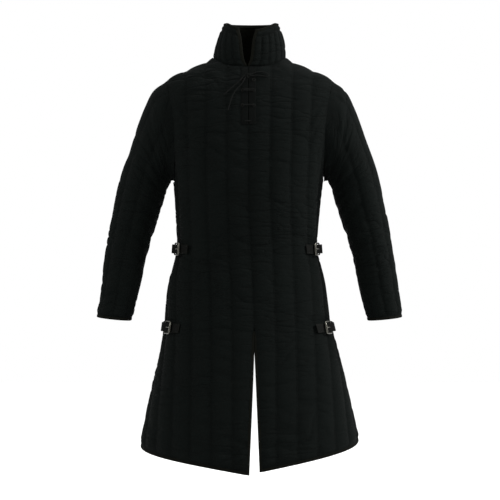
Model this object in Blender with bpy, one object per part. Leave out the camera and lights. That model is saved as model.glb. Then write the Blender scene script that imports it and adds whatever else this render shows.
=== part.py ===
"""Gambeson: a knee-length padded coat, quilted in upright channels, in its worn and hollow form.

Run with: blender --background --python part.py
Units are metres, +Z is up, the front faces -Y, and the origin is between the shoulders at the
base of the neck. Every cloth wall has a plain inner face and an outer face that rises between
the stitch lines.
"""
import math
from collections import namedtuple

import bmesh
import bpy
from mathutils import Matrix, Vector

# Driving dimensions
CHANNEL = 0.052            # distance between two stitch lines on the body
CREST = 0.009              # padded wall in the middle of a channel
STITCH = 0.0035            # padded wall at a stitch line or an edge
VALLEY = CREST - STITCH
POINTS_PER_CHANNEL = 3
SEAM_GAP = 0.0003          # distance between two pieces that are sewn together
SLEEVE_SEAT = -0.0006       # shift outward of a sleeve's head from the edge of its armhole
SQUARENESS = 2.3           # exponent of the body's rounded sections

CHEST_HEIGHT = -0.290      # level of the armpits
SHOULDER_TIP = -0.037      # level of the outer end of the shoulder seam
NECK_HALF_WIDTH = 0.0925
NECK_SIDE = 0.022          # level of the neck's side, where collar and shoulder seam meet
SLIT_TOP = -0.640          # top of the riding slits, front and back
SLIT_OPENS = -0.690        # the slit's edges touch above this level
NECK_SLIT_END = -0.154
NECK_SLIT_HALF = 0.0006
SLIT_SPREAD = {-1: 0.042, 1: 0.064}    # half the gap gained for each metre down
BINDING = 0.005            # height of the strip that binds an edge
BINDING_PROUD = 0.001      # how far a binding stands out from the wall that it covers
VENT_SETBACK = 0.007       # how far the skirt's side edges stand back from the side line

LOWER_ROWS = 9             # rows of the panels from hem to slit top
MIDDLE_ROWS = 9            # rows from slit top to armpit
UPPER_ROWS = 11            # rows from armpit to shoulder
NECK_COLUMN = 5            # column of the panels that ends at the neck's side
FIRST_ROW = 0.014          # distance of the first row from the hem
SLEEVE_CHANNELS = 8
SLEEVE_ROWS = 18
COLLAR_CHANNELS = 24
COLLAR_ROWS = 5
COLLAR_PUFF = 0.003

FRONT, BACK = -1, 1
LEFT, RIGHT = -1, 1

# The hem of each half: its level at the side, how much lower it is at the centre, its curve
Hem = namedtuple("Hem", "side_level drop curve")
HEM = {LEFT: Hem(-0.942, 0.044, 1.65), RIGHT: Hem(-0.927, 0.052, 1.45)}

# The body's form over the crests: a section for each level, from hem to neck
Section = namedtuple("Section", "height half_width centre front back")
BODY = [
    Section(-1.000, 0.288, 0.002, 0.209, 0.203),
    Section(-0.947, 0.278, 0.002, 0.202, 0.196),
    Section(-0.880, 0.264, 0.000, 0.193, 0.187),
    Section(-0.790, 0.244, 0.000, 0.178, 0.173),
    Section(-0.700, 0.222, -0.001, 0.160, 0.158),
    Section(-0.640, 0.209, -0.004, 0.149, 0.149),
    Section(-0.595, 0.204, -0.006, 0.142, 0.142),
    Section(-0.535, 0.196, -0.007, 0.134, 0.130),
    Section(-0.475, 0.180, -0.006, 0.127, 0.116),
    Section(-0.435, 0.177, -0.006, 0.127, 0.111),
    Section(-0.370, 0.181, -0.005, 0.133, 0.115),
    Section(-0.290, 0.189, -0.003, 0.140, 0.126),
    Section(-0.230, 0.205, -0.002, 0.138, 0.132),
    Section(-0.160, 0.225, 0.000, 0.130, 0.134),
    Section(-0.100, 0.232, 0.000, 0.116, 0.127),
    Section(-0.060, 0.226, 0.000, 0.103, 0.116),
    Section(-0.037, 0.210, 0.000, 0.093, 0.106),
    Section(-0.022, 0.184, 0.000, 0.085, 0.098),
    Section(-0.007, 0.152, 0.000, 0.075, 0.089),
    Section(0.008, 0.116, 0.000, 0.064, 0.079),
    Section(0.022, 0.0925, 0.001, 0.050, 0.069),
    Section(0.040, 0.074, 0.001, 0.040, 0.060),
]

# The armhole seam: distance from the centre at each level
Armhole = namedtuple("Armhole", "height reach")
ARMHOLE = [
    Armhole(-0.310, 0.1892),
    Armhole(-0.290, 0.189),
    Armhole(-0.230, 0.186),
    Armhole(-0.160, 0.187),
    Armhole(-0.100, 0.195),
    Armhole(-0.060, 0.203),
    Armhole(-0.037, 0.210),
    Armhole(-0.020, 0.215),
]

# The line of the centre front and centre back, which sways a little over the figure
CentreLine = namedtuple("CentreLine", "height x")
CENTRE_LINE = [
    CentreLine(-1.000, 0.012),
    CentreLine(-0.640, 0.011),
    CentreLine(-0.460, 0.004),
    CentreLine(-0.300, -0.002),
    CentreLine(-0.140, -0.001),
    CentreLine(-0.010, -0.006),
    CentreLine(0.120, -0.005),
]

# The sleeve over its crests: outer and inner outline seen from the front, and its depth
Ring = namedtuple("Ring", "height outer_x outer_z inner_x inner_z depth centre_y")
SLEEVE = [
    Ring(0, 0.210, -0.037, 0.189, -0.290, 0.083, 0.002),
    Ring(1, 0.242, -0.062, 0.195, -0.291, 0.082, 0.002),
    Ring(2, 0.263, -0.104, 0.197, -0.296, 0.079, 0.002),
    Ring(3, 0.281, -0.150, 0.201, -0.302, 0.076, 0.002),
    Ring(4, 0.301, -0.207, 0.205, -0.311, 0.073, 0.001),
    Ring(5, 0.320, -0.262, 0.208, -0.325, 0.070, 0.000),
    Ring(6, 0.334, -0.317, 0.214, -0.348, 0.068, -0.001),
    Ring(7, 0.345, -0.375, 0.231, -0.404, 0.065, -0.004),
    Ring(8, 0.356, -0.435, 0.249, -0.462, 0.062, -0.010),
    Ring(9, 0.365, -0.495, 0.262, -0.520, 0.058, -0.018),
    Ring(10, 0.372, -0.555, 0.274, -0.577, 0.053, -0.027),
    Ring(11, 0.379, -0.605, 0.284, -0.618, 0.049, -0.035),
    Ring(12, 0.381, -0.620, 0.286, -0.630, 0.048, -0.038),
]
CUFF = 12

# The collar's front opening: half its gap at each share of the collar's height
Opening = namedtuple("Opening", "height half_gap")
COLLAR_OPENING = [
    Opening(-0.2, 0.0008),
    Opening(0.0, 0.0030),
    Opening(0.2, 0.0120),
    Opening(0.8, 0.0190),
    Opening(1.0, 0.0250),
    Opening(1.2, 0.0300),
]
COLLAR_SEAT = 0.0008       # how far the collar's foot stands over the neckline's thin edge
COLLAR_TOP_HALF_WIDTH = 0.068
COLLAR_BOW = 0.004         # how far the collar's sides swell between foot and top
COLLAR_TOP_FRONT = 0.060
COLLAR_TOP_BACK = 0.064
COLLAR_TOP_CENTRE = Vector((0.0040, -0.004, 0.0975))
COLLAR_TOP_TILT = 0.165    # rise of the collar's top for each metre towards the back

FACING_THICKNESS = 0.0016
PLACKET_WALL = 0.006       # padded wall under the facings of the neck slit
EYELET_LEVELS = (-0.047, -0.0735, -0.111)
EYELET_SIDE = 0.0135
EYELET_RADIUS = 0.0032
EYELET_WIRE = 0.0009
LACE = 0.0024              # diameter of the lace

# The lace's stops: distance from the slit, level, height over the panel's form
Stop = namedtuple("Stop", "x z lift")
KNOT = Stop(0.000, -0.0366, 0.0026)
KNOT_SIZE = (0.0050, 0.0026, 0.0042)
LACE_END_LONG = [
    Stop(-0.0065, -0.0420, 0.0030), Stop(-0.0100, -0.0500, 0.0032),
    Stop(-0.0180, -0.0620, 0.0026), Stop(-0.0280, -0.0720, 0.0020),
    Stop(-0.0360, -0.0850, 0.0020), Stop(-0.0415, -0.1000, 0.0020),
    Stop(-0.0450, -0.1120, 0.0020), Stop(-0.0486, -0.1246, 0.0020),
]
LACE_END_SHORT = [
    Stop(-0.0070, -0.0365, 0.0030), Stop(-0.0130, -0.0415, 0.0032),
    Stop(-0.0220, -0.0520, 0.0020), Stop(-0.0330, -0.0620, 0.0020),
    Stop(-0.0450, -0.0730, 0.0020), Stop(-0.0590, -0.0860, 0.0020),
]
LACE_LOOP = [
    Stop(0.0070, -0.0345, 0.0024), Stop(0.0140, -0.0310, 0.0012),
    Stop(0.0250, -0.0280, 0.0020), Stop(0.0370, -0.0285, 0.0020),
    Stop(0.0470, -0.0325, 0.0020), Stop(0.0505, -0.0370, 0.0020),
    Stop(0.0460, -0.0400, 0.0020), Stop(0.0350, -0.0385, 0.0020),
    Stop(0.0230, -0.0370, 0.0020), Stop(0.0130, -0.0375, 0.0012),
    Stop(0.0068, -0.0390, 0.0024),
]
LACING_LEVELS = {"upper": -0.0718, "middle": -0.0752, "lower": -0.1110}

STRAP_WIDTH = 0.022
STRAP_THICKNESS = 0.0018
STRAP_SEAT = 0.0008        # clearance over the cloth between two of its rows
STRAPS = {"waist": (-0.458, -0.054), "hip": (-0.650, -0.078)}   # height, arc of the buckle's middle
FRAME_LENGTH = 0.028
FRAME_HEIGHT = 0.032
FRAME_WIRE = 0.0036
FRAME_CORNER = 0.0030
ROLLER = 0.0060
ROLLER_BORE = 0.0042
ROLLER_LENGTH = 0.0215
PIN_WIRE = 0.0024
FRAME_LIFT = 0.0054        # height of the frame's wire over the body
BAR = (FRAME_LENGTH - FRAME_WIRE) / 2
WRAP = FRAME_WIRE / 2 + SEAM_GAP + STRAP_THICKNESS / 2   # the chape's bend round its bar

# A strap's path along its body: arc from the buckle's middle and height over the body.
# "flat" stops follow the body, "true" stops are measured in the buckle's own plane.
# The strap is sewn to the front, the chape that holds the buckle to the back.
Path = namedtuple("Path", "frame arc lift")
STRAP_PATH = [
    Path("flat", -0.040, 0.0013), Path("flat", -0.030, 0.0013), Path("flat", -0.020, 0.0013),
    Path("true", -BAR, 0.0009), Path("true", -0.0070, 0.0018),
    Path("true", 0.0000, 0.0056), Path("true", 0.0050, 0.0084),
    Path("true", 0.0090, 0.0103), Path("true", BAR, 0.0109),
    Path("true", 0.0180, 0.0103), Path("flat", 0.025, 0.0092), Path("flat", 0.034, 0.0064),
    Path("flat", 0.045, 0.0046), Path("flat", 0.056, 0.0040), Path("flat", 0.066, 0.0038),
]
CHAPE_PATH = [
    Path("flat", 0.112, 0.0013), Path("flat", 0.100, 0.0013), Path("flat", 0.088, 0.0013),
    Path("flat", 0.077, 0.0013), Path("flat", 0.066, 0.0013), Path("flat", 0.056, 0.0013),
    Path("flat", 0.045, 0.0013), Path("flat", 0.034, 0.0013), Path("flat", 0.027, 0.0013),
    Path("flat", 0.020, 0.0013), Path("true", BAR, FRAME_LIFT - WRAP),
    Path("true", BAR - 0.7 * WRAP, FRAME_LIFT - 0.7 * WRAP),
    Path("true", BAR - WRAP, FRAME_LIFT), Path("true", BAR - 0.7 * WRAP, FRAME_LIFT + 0.7 * WRAP),
    Path("true", BAR, FRAME_LIFT + WRAP), Path("true", 0.0165, 0.0072),
    Path("flat", 0.0250, 0.0040), Path("flat", 0.0330, 0.0035),
]

COLOURS = {
    "quilted_cotton": ((0.012, 0.013, 0.012, 1), 0.92, 0.0),
    "binding": ((0.020, 0.021, 0.018, 1), 0.85, 0.0),
    "facing": ((0.014, 0.015, 0.014, 1), 0.88, 0.0),
    "lace": ((0.060, 0.060, 0.056, 1), 0.75, 0.0),
    "strap": ((0.030, 0.029, 0.027, 1), 0.60, 0.0),
    "nickel": ((0.62, 0.61, 0.59, 1), 0.25, 1.0),
}


def material(kind):
    """One Principled material for each kind of stuff."""
    existing = bpy.data.materials.get(kind)
    if existing:
        return existing
    colour, roughness, metallic = COLOURS[kind]
    made = bpy.data.materials.new(kind)
    made.use_nodes = True
    shader = made.node_tree.nodes["Principled BSDF"]
    shader.inputs["Base Color"].default_value = colour
    shader.inputs["Roughness"].default_value = roughness
    shader.inputs["Metallic"].default_value = metallic
    made.diffuse_color = colour
    return made


def add_object(name, mesh, kind, collection, smooth=True):
    """Name a mesh as a piece of the garment, give it its material and link it."""
    if not mesh.materials:
        mesh.materials.append(material(kind))
    if smooth:
        mesh.shade_smooth()
        mesh.set_sharp_from_angle(angle=math.radians(50))
    piece = bpy.data.objects.new(name, mesh)
    collection.objects.link(piece)
    return piece


def close_mesh(name, shape):
    """Turn a closed bmesh into a mesh whose faces all point out."""
    bmesh.ops.recalc_face_normals(shape, faces=shape.faces)
    mesh = bpy.data.meshes.new(name)
    shape.to_mesh(mesh)
    shape.free()
    return mesh


# ---------------------------------------------------------------- form of the body

def read(table, height, column):
    """A column's value at a height, on a smooth curve through the table's rows."""
    last = len(table) - 2
    k = 0
    while k < last and table[k + 1].height < height:
        k += 1
    low, high = table[k], table[k + 1]
    span = high.height - low.height
    before, after = table[max(k - 1, 0)], table[min(k + 2, last + 1)]
    a, b = getattr(low, column), getattr(high, column)
    rise_low = (b - getattr(before, column)) / (high.height - before.height) * span
    rise_high = (getattr(after, column) - a) / (after.height - low.height) * span
    t = min(max((height - low.height) / span, 0.0), 1.0)
    return ((2 * t**3 - 3 * t**2 + 1) * a + (t**3 - 2 * t**2 + t) * rise_low
            + (3 * t**2 - 2 * t**3) * b + (t**3 - t**2) * rise_high)


def depth_column(face):
    return "front" if face == FRONT else "back"


def form_point(face, x, height, inset=0.0):
    """Point of the body's form above (x, height), moved in along the normal by inset."""
    half = read(BODY, height, "half_width")
    depth = read(BODY, height, depth_column(face))
    centre = read(BODY, height, "centre")
    u = min(abs(x - centre) / half, 1.0)
    v = (1.0 - u**SQUARENESS) ** (1.0 / SQUARENESS)
    step = 0.001
    half_rise = (read(BODY, height + step, "half_width")
                 - read(BODY, height - step, "half_width")) / (2 * step)
    depth_rise = (read(BODY, height + step, depth_column(face))
                  - read(BODY, height - step, depth_column(face))) / (2 * step)
    normal = Vector((
        math.copysign(u ** (SQUARENESS - 1) / half, x - centre),
        face * v ** (SQUARENESS - 1) / depth,
        -(u**SQUARENESS) * half_rise / half - (v**SQUARENESS) * depth_rise / depth))
    normal.normalize()
    seam = face * SEAM_GAP / 2
    return Vector((x, face * depth * v + seam, height)) - normal * inset


ARC_STEPS = 60


def section_arc(face, height):
    """Quarter section as a list of (arc from the centre, distance across)."""
    half = read(BODY, height, "half_width")
    depth = read(BODY, height, depth_column(face))
    power = 2.0 / SQUARENESS
    arc = 0.0
    last = (0.0, depth)
    points = [(0.0, 0.0)]
    for i in range(1, ARC_STEPS + 1):
        angle = math.pi / 2 * i / ARC_STEPS
        here = (half * math.sin(angle) ** power, depth * math.cos(angle) ** power)
        arc += math.dist(here, last)
        points.append((arc, here[0]))
        last = here
    return points


def across(points, arc):
    """Distance across at an arc from the section's centre."""
    size = abs(arc)
    for (arc_a, x_a), (arc_b, x_b) in zip(points, points[1:]):
        if size <= arc_b:
            x = x_a + (x_b - x_a) * (size - arc_a) / (arc_b - arc_a)
            return math.copysign(x, arc)
    return math.copysign(points[-1][1], arc)


def arc_point(face, arc, height, inset=0.0):
    """Point at a signed arc from the centre line, round the section at a height."""
    centre = read(BODY, height, "centre")
    start = read(CENTRE_LINE, height, "x") - centre
    x = across(section_arc(face, height), start + arc)
    return form_point(face, centre + x, height, inset)


def half_girth(face, side, height):
    """Arc from the centre line to the side seam."""
    start = read(CENTRE_LINE, height, "x") - read(BODY, height, "centre")
    return section_arc(face, height)[-1][0] - side * start


def hem_height(face, side, arc):
    """Level of the hem at an arc from the centre line."""
    hem = HEM[side]
    share = min(abs(arc) / half_girth(face, side, hem.side_level), 1.0)
    return hem.side_level - hem.drop * (1.0 - share) ** hem.curve


def slit_half(face, side, height):
    """Half the gap between the slit's cloth edges, without their bindings."""
    closed = NECK_SLIT_HALF + BINDING
    if height >= SLIT_OPENS:
        first_row = (SLIT_TOP - hem_height(face, side, 0.0)) / LOWER_ROWS
        return closed * min(max((SLIT_TOP - height) / first_row, 0.0), 1.0)
    return closed + SLIT_SPREAD[face] * (SLIT_OPENS - height)


# ---------------------------------------------------------------- panels

def neckline(face, x):
    """Level of the neckline above a distance from the centre."""
    share = min(abs(x) / NECK_HALF_WIDTH, 1.0)
    low = -0.010 if face == FRONT else 0.014
    return low + (NECK_SIDE - low) * share**3


def top_edge(face, x):
    """Level of the panel's top edge: the neckline, then the shoulder seam."""
    if abs(x) <= NECK_HALF_WIDTH:
        return neckline(face, x)
    low, high = SHOULDER_TIP, NECK_SIDE
    for _ in range(40):
        middle = (low + high) / 2
        if read(BODY, middle, "half_width") > abs(x):
            low = middle
        else:
            high = middle
    return (low + high) / 2


def rise(share):
    """Rows gather towards the shoulder seam, where the form turns level."""
    return 1.0 - (1.0 - share) ** 2


def upper_height(face, x, share):
    return CHEST_HEIGHT + (top_edge(face, x) - CHEST_HEIGHT) * rise(share)


def upper_x(face, arc, share):
    """Where a column stands above the armpits; one column ends where neck meets shoulder."""
    centre = read(BODY, CHEST_HEIGHT, "centre")
    start = read(CENTRE_LINE, CHEST_HEIGHT, "x") - centre
    low = centre + across(section_arc(face, CHEST_HEIGHT), start + arc)
    neck_arc = NECK_COLUMN * CHANNEL / POINTS_PER_CHANNEL
    middle = read(CENTRE_LINE, -0.08, "x")
    if abs(arc) <= neck_arc:
        high = middle + (math.copysign(NECK_HALF_WIDTH, arc) - middle) * abs(arc) / neck_arc
    else:
        high = arc + math.copysign(NECK_HALF_WIDTH - neck_arc, arc)
    return low + (high - low) * share


def armhole_x(face, side, share):
    """Distance across of the armhole on an upper row."""
    x = side * 0.190
    for _ in range(30):
        x = side * read(ARMHOLE, upper_height(face, x, share), "reach")
    return x


def column_arcs(limit):
    """Arcs of the columns from the centre line out, each with its share of padding."""
    columns = []
    step = CHANNEL / POINTS_PER_CHANNEL
    k = 0
    while k * step < limit - 0.005:
        columns.append((k * step, 0.0 if k % POINTS_PER_CHANNEL == 0 else 1.0))
        k += 1
    return columns


def inset_for(padding):
    return VALLEY * (1.0 - padding)


Row = namedtuple("Row", "kind share split")


def panel_rows():
    """Every row of a panel from hem to shoulder; split rows have a gap at the centre."""
    rows = [Row("lower", 0.0, True)]
    rows.append(Row("lower", FIRST_ROW / (SLIT_TOP - hem_height(FRONT, LEFT, 0.0)), True))
    rows += [Row("lower", i / LOWER_ROWS, True) for i in range(1, LOWER_ROWS)]
    rows += [Row("middle", i / MIDDLE_ROWS, False) for i in range(MIDDLE_ROWS)]
    for i in range(UPPER_ROWS + 1):
        share = i / UPPER_ROWS
        centre_height = upper_height(FRONT, 0.0, share)
        rows.append(Row("upper", share, centre_height > NECK_SLIT_END))
    return rows


def row_height(row, face, side, arc):
    """Level of a row below the armpits, above an arc from the centre line."""
    hem = hem_height(face, side, arc)
    total = CHEST_HEIGHT - hem
    centre_hem = hem_height(face, side, 0.0)
    slit = (SLIT_TOP - centre_hem) / (CHEST_HEIGHT - centre_hem)
    share = row.share * slit if row.kind == "lower" else slit + row.share * (1.0 - slit)
    return hem + total * share


def vent_setback(row):
    """The side edge stands back below the vent's top."""
    if row.kind != "lower":
        return 0.0
    last_vent_row = (LOWER_ROWS - 1) / LOWER_ROWS
    return VENT_SETBACK if row.share < last_vent_row - 0.001 else 0.0


def panel_half_row(face, side, row, stitched_only):
    """One half row as (arc, point): outer face, or plain inner face with fewer points."""
    if row.kind == "upper":
        return upper_half_row(face, side, row, stitched_only)
    edge_level = row_height(row, face, side, 1.0)
    limit = half_girth(face, side, edge_level) - vent_setback(row)
    points = []
    for arc, padding in column_arcs(limit):
        if stitched_only and padding:
            continue
        slit = slit_half(face, side, row_height(row, face, side, 0.0)) if row.split else 0.0
        start = max(arc, slit)
        if arc == 0.0 or start == arc:
            points.append((start, start_padding(padding, row)))
    points.append((limit, 0.0))
    made = []
    for arc, padding in points:
        height = row_height(row, face, side, arc)
        inset = CREST if stitched_only else inset_for(padding)
        made.append((arc, arc_point(face, side * arc, height, inset)))
    return made


def start_padding(padding, row):
    """The wall is thin all along the hem."""
    return 0.0 if row.kind == "lower" and row.share == 0.0 else padding


def on_placket(row):
    """Whether the facings of the neck slit lie on this row."""
    level = upper_height(FRONT, 0.0, row.share)
    return row.kind == "upper" and row.share < 1.0 and level > NECK_SLIT_END - 0.008


def upper_half_row(face, side, row, stitched_only):
    """A half row above the armpits, out to the armhole or the shoulder's tip."""
    edge_x = armhole_x(face, side, row.share)
    made = []
    top = row.share == 1.0
    step = CHANNEL / POINTS_PER_CHANNEL
    for arc, padding in column_arcs(0.30):
        x = upper_x(face, side * arc, row.share)
        if side * (edge_x - x) < 0.005:
            break
        if stitched_only and padding and not top:
            continue
        placket = face == FRONT and on_placket(row) and arc <= step * 1.01
        if arc == 0.0 and row.split and face == FRONT:
            x += side * NECK_SLIT_HALF
        if stitched_only:
            inset = CREST
        elif placket:
            inset = CREST - PLACKET_WALL
        else:
            inset = inset_for(0.0 if top else padding)
        height = upper_height(face, x, row.share)
        made.append((arc, form_point(face, x, height, inset)))
    inset = CREST if stitched_only else VALLEY
    height = upper_height(face, edge_x, row.share)
    arc = made[-1][0] + abs(edge_x - upper_x(face, side * made[-1][0], row.share))
    made.append((arc, form_point(face, edge_x, height, inset)))
    return made


def zip_rows(shape, first, second):
    """Fill the strip between two rows of (key, vertex), which may differ in number."""
    i = j = 0
    while i < len(first) - 1 or j < len(second) - 1:
        step_first = j == len(second) - 1 or (
            i < len(first) - 1 and first[i + 1][0] <= second[j + 1][0] + 1e-6)
        if step_first:
            corners = (first[i][1], first[i + 1][1], second[j][1])
            i += 1
        else:
            corners = (first[i][1], second[j + 1][1], second[j][1])
            j += 1
        if len(set(corners)) == 3:
            shape.faces.new(corners)


def build_panel(name, face, collection):
    """A front or back: two halves that share the centre line between the slits."""
    rows = panel_rows()
    if face == BACK:
        rows = [row if row.kind == "lower" else row._replace(split=False) for row in rows]
    shape = bmesh.new()
    shared = {}
    walls = {}
    for side in (LEFT, RIGHT):
        for stitched_only in (False, True):
            grid = []
            for number, row in enumerate(rows):
                verts = []
                for arc, point in panel_half_row(face, side, row, stitched_only):
                    if arc == 0.0 and not row.split:
                        key = (number, stitched_only)
                        if key not in shared:
                            shared[key] = shape.verts.new(point)
                        verts.append((arc, shared[key]))
                    else:
                        verts.append((arc, shape.verts.new(point)))
                grid.append(verts)
            walls[side, stitched_only] = grid
    for side in (LEFT, RIGHT):
        outer, inner = walls[side, False], walls[side, True]
        for grid in (outer, inner):
            for low, high in zip(grid, grid[1:]):
                zip_rows(shape, low, high)
        zip_rows(shape, outer[0], inner[0])
        zip_rows(shape, outer[-1], inner[-1])
        for k in range(len(rows) - 1):
            rim(shape, outer, inner, k, -1)
            if rows[k].split or rows[k + 1].split:
                rim(shape, outer, inner, k, 0)
    return add_object(name, close_mesh(name, shape), "quilted_cotton", collection)


def rim(shape, outer, inner, k, end):
    """Close the wall between two rows at one end of them."""
    shape.faces.new((outer[k][end][1], outer[k + 1][end][1],
                     inner[k + 1][end][1], inner[k][end][1]))


# ---------------------------------------------------------------- sleeves

def armhole_edge(side, angle):
    """Point of the armhole's stitched edge; angle 0 is the shoulder, pi/2 the front."""
    middle = (SHOULDER_TIP + CHEST_HEIGHT) / 2
    height = middle + (SHOULDER_TIP - CHEST_HEIGHT) / 2 * math.cos(angle)
    face = FRONT if math.sin(angle) > 0 else BACK
    x = side * read(ARMHOLE, height, "reach")
    point = form_point(face, x, height, VALLEY)
    point.x = side * max(abs(point.x), abs(x) - 0.002)
    return point


def sleeve_frame(side, along):
    """Centre, outward half-axis and half-depth of a sleeve's ring."""
    outer = Vector((side * read(SLEEVE, along, "outer_x"), 0, read(SLEEVE, along, "outer_z")))
    inner = Vector((side * read(SLEEVE, along, "inner_x"), 0, read(SLEEVE, along, "inner_z")))
    centre = (outer + inner) / 2
    centre.y = read(SLEEVE, along, "centre_y")
    return centre, (outer - inner) / 2, read(SLEEVE, along, "depth")


def sleeve_point(side, along, angle, inset):
    """Point of the sleeve's form on a ring, moved in towards its middle."""
    centre, half_axis, depth = sleeve_frame(side, along)
    length = half_axis.length
    axis = half_axis.normalized()
    outward = axis * (math.cos(angle) * depth) + Vector((0, -math.sin(angle) * length, 0))
    outward.normalize()
    point = centre + half_axis * math.cos(angle) + Vector((0, -depth * math.sin(angle), 0))
    return point - outward * inset


def seam_ring_point(side, angle, inward):
    """First ring of the sleeve, just outside the armhole's edge."""
    point = armhole_edge(side, angle)
    point.x += side * SLEEVE_SEAT
    middle = Vector((0, 0, (SHOULDER_TIP + CHEST_HEIGHT) / 2))
    to_middle = Vector((0, middle.y - point.y, middle.z - point.z)).normalized()
    return point + to_middle * inward


def ring_rows(rows_of_points):
    """Vertices of closed rings, with the first one repeated at the end."""
    return [row + [(1.0, row[0][1])] for row in rows_of_points]


def build_sleeve(name, side, collection):
    """A tube from the armhole to the cuff, padded between lengthwise stitch lines."""
    shape = bmesh.new()
    grids = []
    for stitched_only in (False, True):
        count = SLEEVE_CHANNELS * (1 if stitched_only else POINTS_PER_CHANNEL)
        grid = []
        for number in range(SLEEVE_ROWS + 1):
            along = CUFF * (number / SLEEVE_ROWS)
            edge = number in (0, SLEEVE_ROWS)
            row = []
            for k in range(count):
                angle = 2 * math.pi * k / count
                padded = k % POINTS_PER_CHANNEL != 0 and not edge and not stitched_only
                if number == 0:
                    point = seam_ring_point(side, angle, STITCH if stitched_only else 0.0)
                else:
                    inset = CREST if stitched_only else inset_for(1.0 if padded else 0.0)
                    point = sleeve_point(side, along, angle, inset)
                row.append((k / count, shape.verts.new(point)))
            grid.append(row)
        grids.append(ring_rows(grid))
    outer, inner = grids
    for grid in grids:
        for low, high in zip(grid, grid[1:]):
            zip_rows(shape, low, high)
    zip_rows(shape, outer[0], inner[0])
    zip_rows(shape, outer[-1], inner[-1])
    return add_object(name, close_mesh(name, shape), "quilted_cotton", collection)


def build_cuff_binding(name, side, collection):
    """A ring of binding below the sleeve's edge."""
    centre, _, _ = sleeve_frame(side, CUFF)
    before, _, _ = sleeve_frame(side, CUFF - 1)
    down = (centre - before).normalized()
    shape = bmesh.new()
    profile = [(SEAM_GAP, CREST + BINDING_PROUD), (SEAM_GAP, VALLEY - BINDING_PROUD),
               (BINDING * 0.6, VALLEY - BINDING_PROUD), (BINDING, (CREST + VALLEY) / 2),
               (BINDING * 0.6, CREST + BINDING_PROUD)]
    count = SLEEVE_CHANNELS * POINTS_PER_CHANNEL
    rings = []
    for drop, inset in profile:
        ring = []
        for k in range(count):
            angle = 2 * math.pi * k / count
            ring.append(shape.verts.new(sleeve_point(side, CUFF, angle, inset) + down * drop))
        rings.append(ring)
    for a, b in zip(rings, rings[1:] + rings[:1]):
        for k in range(count):
            nxt = (k + 1) % count
            shape.faces.new((a[k], a[nxt], b[nxt], b[k]))
    return add_object(name, close_mesh(name, shape), "binding", collection)


# ---------------------------------------------------------------- collar

NECK_EDGES = {}


def neck_edge(face):
    """The panel's top row from one side of the neck to the other."""
    if face not in NECK_EDGES:
        top = Row("upper", 1.0, face == FRONT)
        halves = [upper_half_row(face, side, top, False)[:NECK_COLUMN + 1]
                  for side in (LEFT, RIGHT)]
        NECK_EDGES[face] = [point for _, point in reversed(halves[0])]
        NECK_EDGES[face] += [point for _, point in halves[1]]
    return NECK_EDGES[face]


def collar_base(angle):
    """Foot of the collar on the neckline; angle 0 is the back, pi the front."""
    edge = neck_edge(BACK if math.cos(angle) > 0 else FRONT)
    middle = (edge[0].x + edge[-1].x) / 2
    x = middle + (edge[-1].x - edge[0].x) / 2 * math.sin(angle)
    for a, b in zip(edge, edge[1:]):
        if x <= b.x and b.x > a.x:
            return a.lerp(b, (x - a.x) / (b.x - a.x)) + Vector((0, 0, COLLAR_SEAT))
    return edge[-1] + Vector((0, 0, COLLAR_SEAT))


def collar_top(angle):
    """Upper edge of the collar's cloth, below its binding."""
    depth = COLLAR_TOP_BACK if math.cos(angle) > 0 else COLLAR_TOP_FRONT
    x = COLLAR_TOP_CENTRE.x + COLLAR_TOP_HALF_WIDTH * math.sin(angle)
    y = COLLAR_TOP_CENTRE.y + depth * math.cos(angle)
    z = COLLAR_TOP_CENTRE.z + COLLAR_TOP_TILT * (y - COLLAR_TOP_CENTRE.y)
    return Vector((x, y, z))


def collar_point(share, angle, out):
    """Point of the collar at a share of its height, moved out along its normal."""
    base, top = collar_base(angle), collar_top(angle)
    point = base.lerp(top, share)
    normal = Vector((math.sin(angle) / NECK_HALF_WIDTH, math.cos(angle) / 0.070, 0)).normalized()
    return point + normal * (out + COLLAR_BOW * math.sin(math.pi * share))


def collar_angles(share, count):
    """Angles of the columns at a height, from one front edge round the back to the other."""
    half_gap = read(COLLAR_OPENING, share, "half_gap")
    middle = read(CENTRE_LINE, 0.05, "x")
    width = NECK_HALF_WIDTH + (COLLAR_TOP_HALF_WIDTH - NECK_HALF_WIDTH) * share
    centre = COLLAR_TOP_CENTRE.x * share
    first = -math.pi - math.asin((middle - half_gap - centre) / width)
    last = math.pi - math.asin((middle + half_gap - centre) / width)
    return [first + (last - first) * k / count for k in range(count + 1)]


def build_collar(name, collection):
    """A standing band from the neckline up, open at the front."""
    shape = bmesh.new()
    grids = []
    for stitched_only in (False, True):
        count = COLLAR_CHANNELS * (1 if stitched_only else POINTS_PER_CHANNEL)
        grid = []
        for number in range(COLLAR_ROWS + 1):
            share = number / COLLAR_ROWS
            edge = number in (0, COLLAR_ROWS)
            row = []
            for k, angle in enumerate(collar_angles(share, count)):
                padded = k % POINTS_PER_CHANNEL != 0 and not edge and not stitched_only
                out = -STITCH if stitched_only else COLLAR_PUFF * padded
                row.append((k / count, shape.verts.new(collar_point(share, angle, out))))
            grid.append(row)
        grids.append(grid)
    outer, inner = grids
    for grid in grids:
        for low, high in zip(grid, grid[1:]):
            zip_rows(shape, low, high)
    zip_rows(shape, outer[0], inner[0])
    zip_rows(shape, outer[-1], inner[-1])
    for k in range(COLLAR_ROWS):
        rim(shape, outer, inner, k, 0)
        rim(shape, outer, inner, k, -1)
    return add_object(name, close_mesh(name, shape), "quilted_cotton", collection)


def loft(shape, sections):
    """Skin a list of closed sections with the same number of points, and cap both ends."""
    rings = [[shape.verts.new(point) for point in section] for section in sections]
    count = len(rings[0])
    for a, b in zip(rings, rings[1:]):
        for k in range(count):
            nxt = (k + 1) % count
            shape.faces.new((a[k], a[nxt], b[nxt], b[k]))
    shape.faces.new(rings[0])
    shape.faces.new(list(reversed(rings[-1])))


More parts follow.
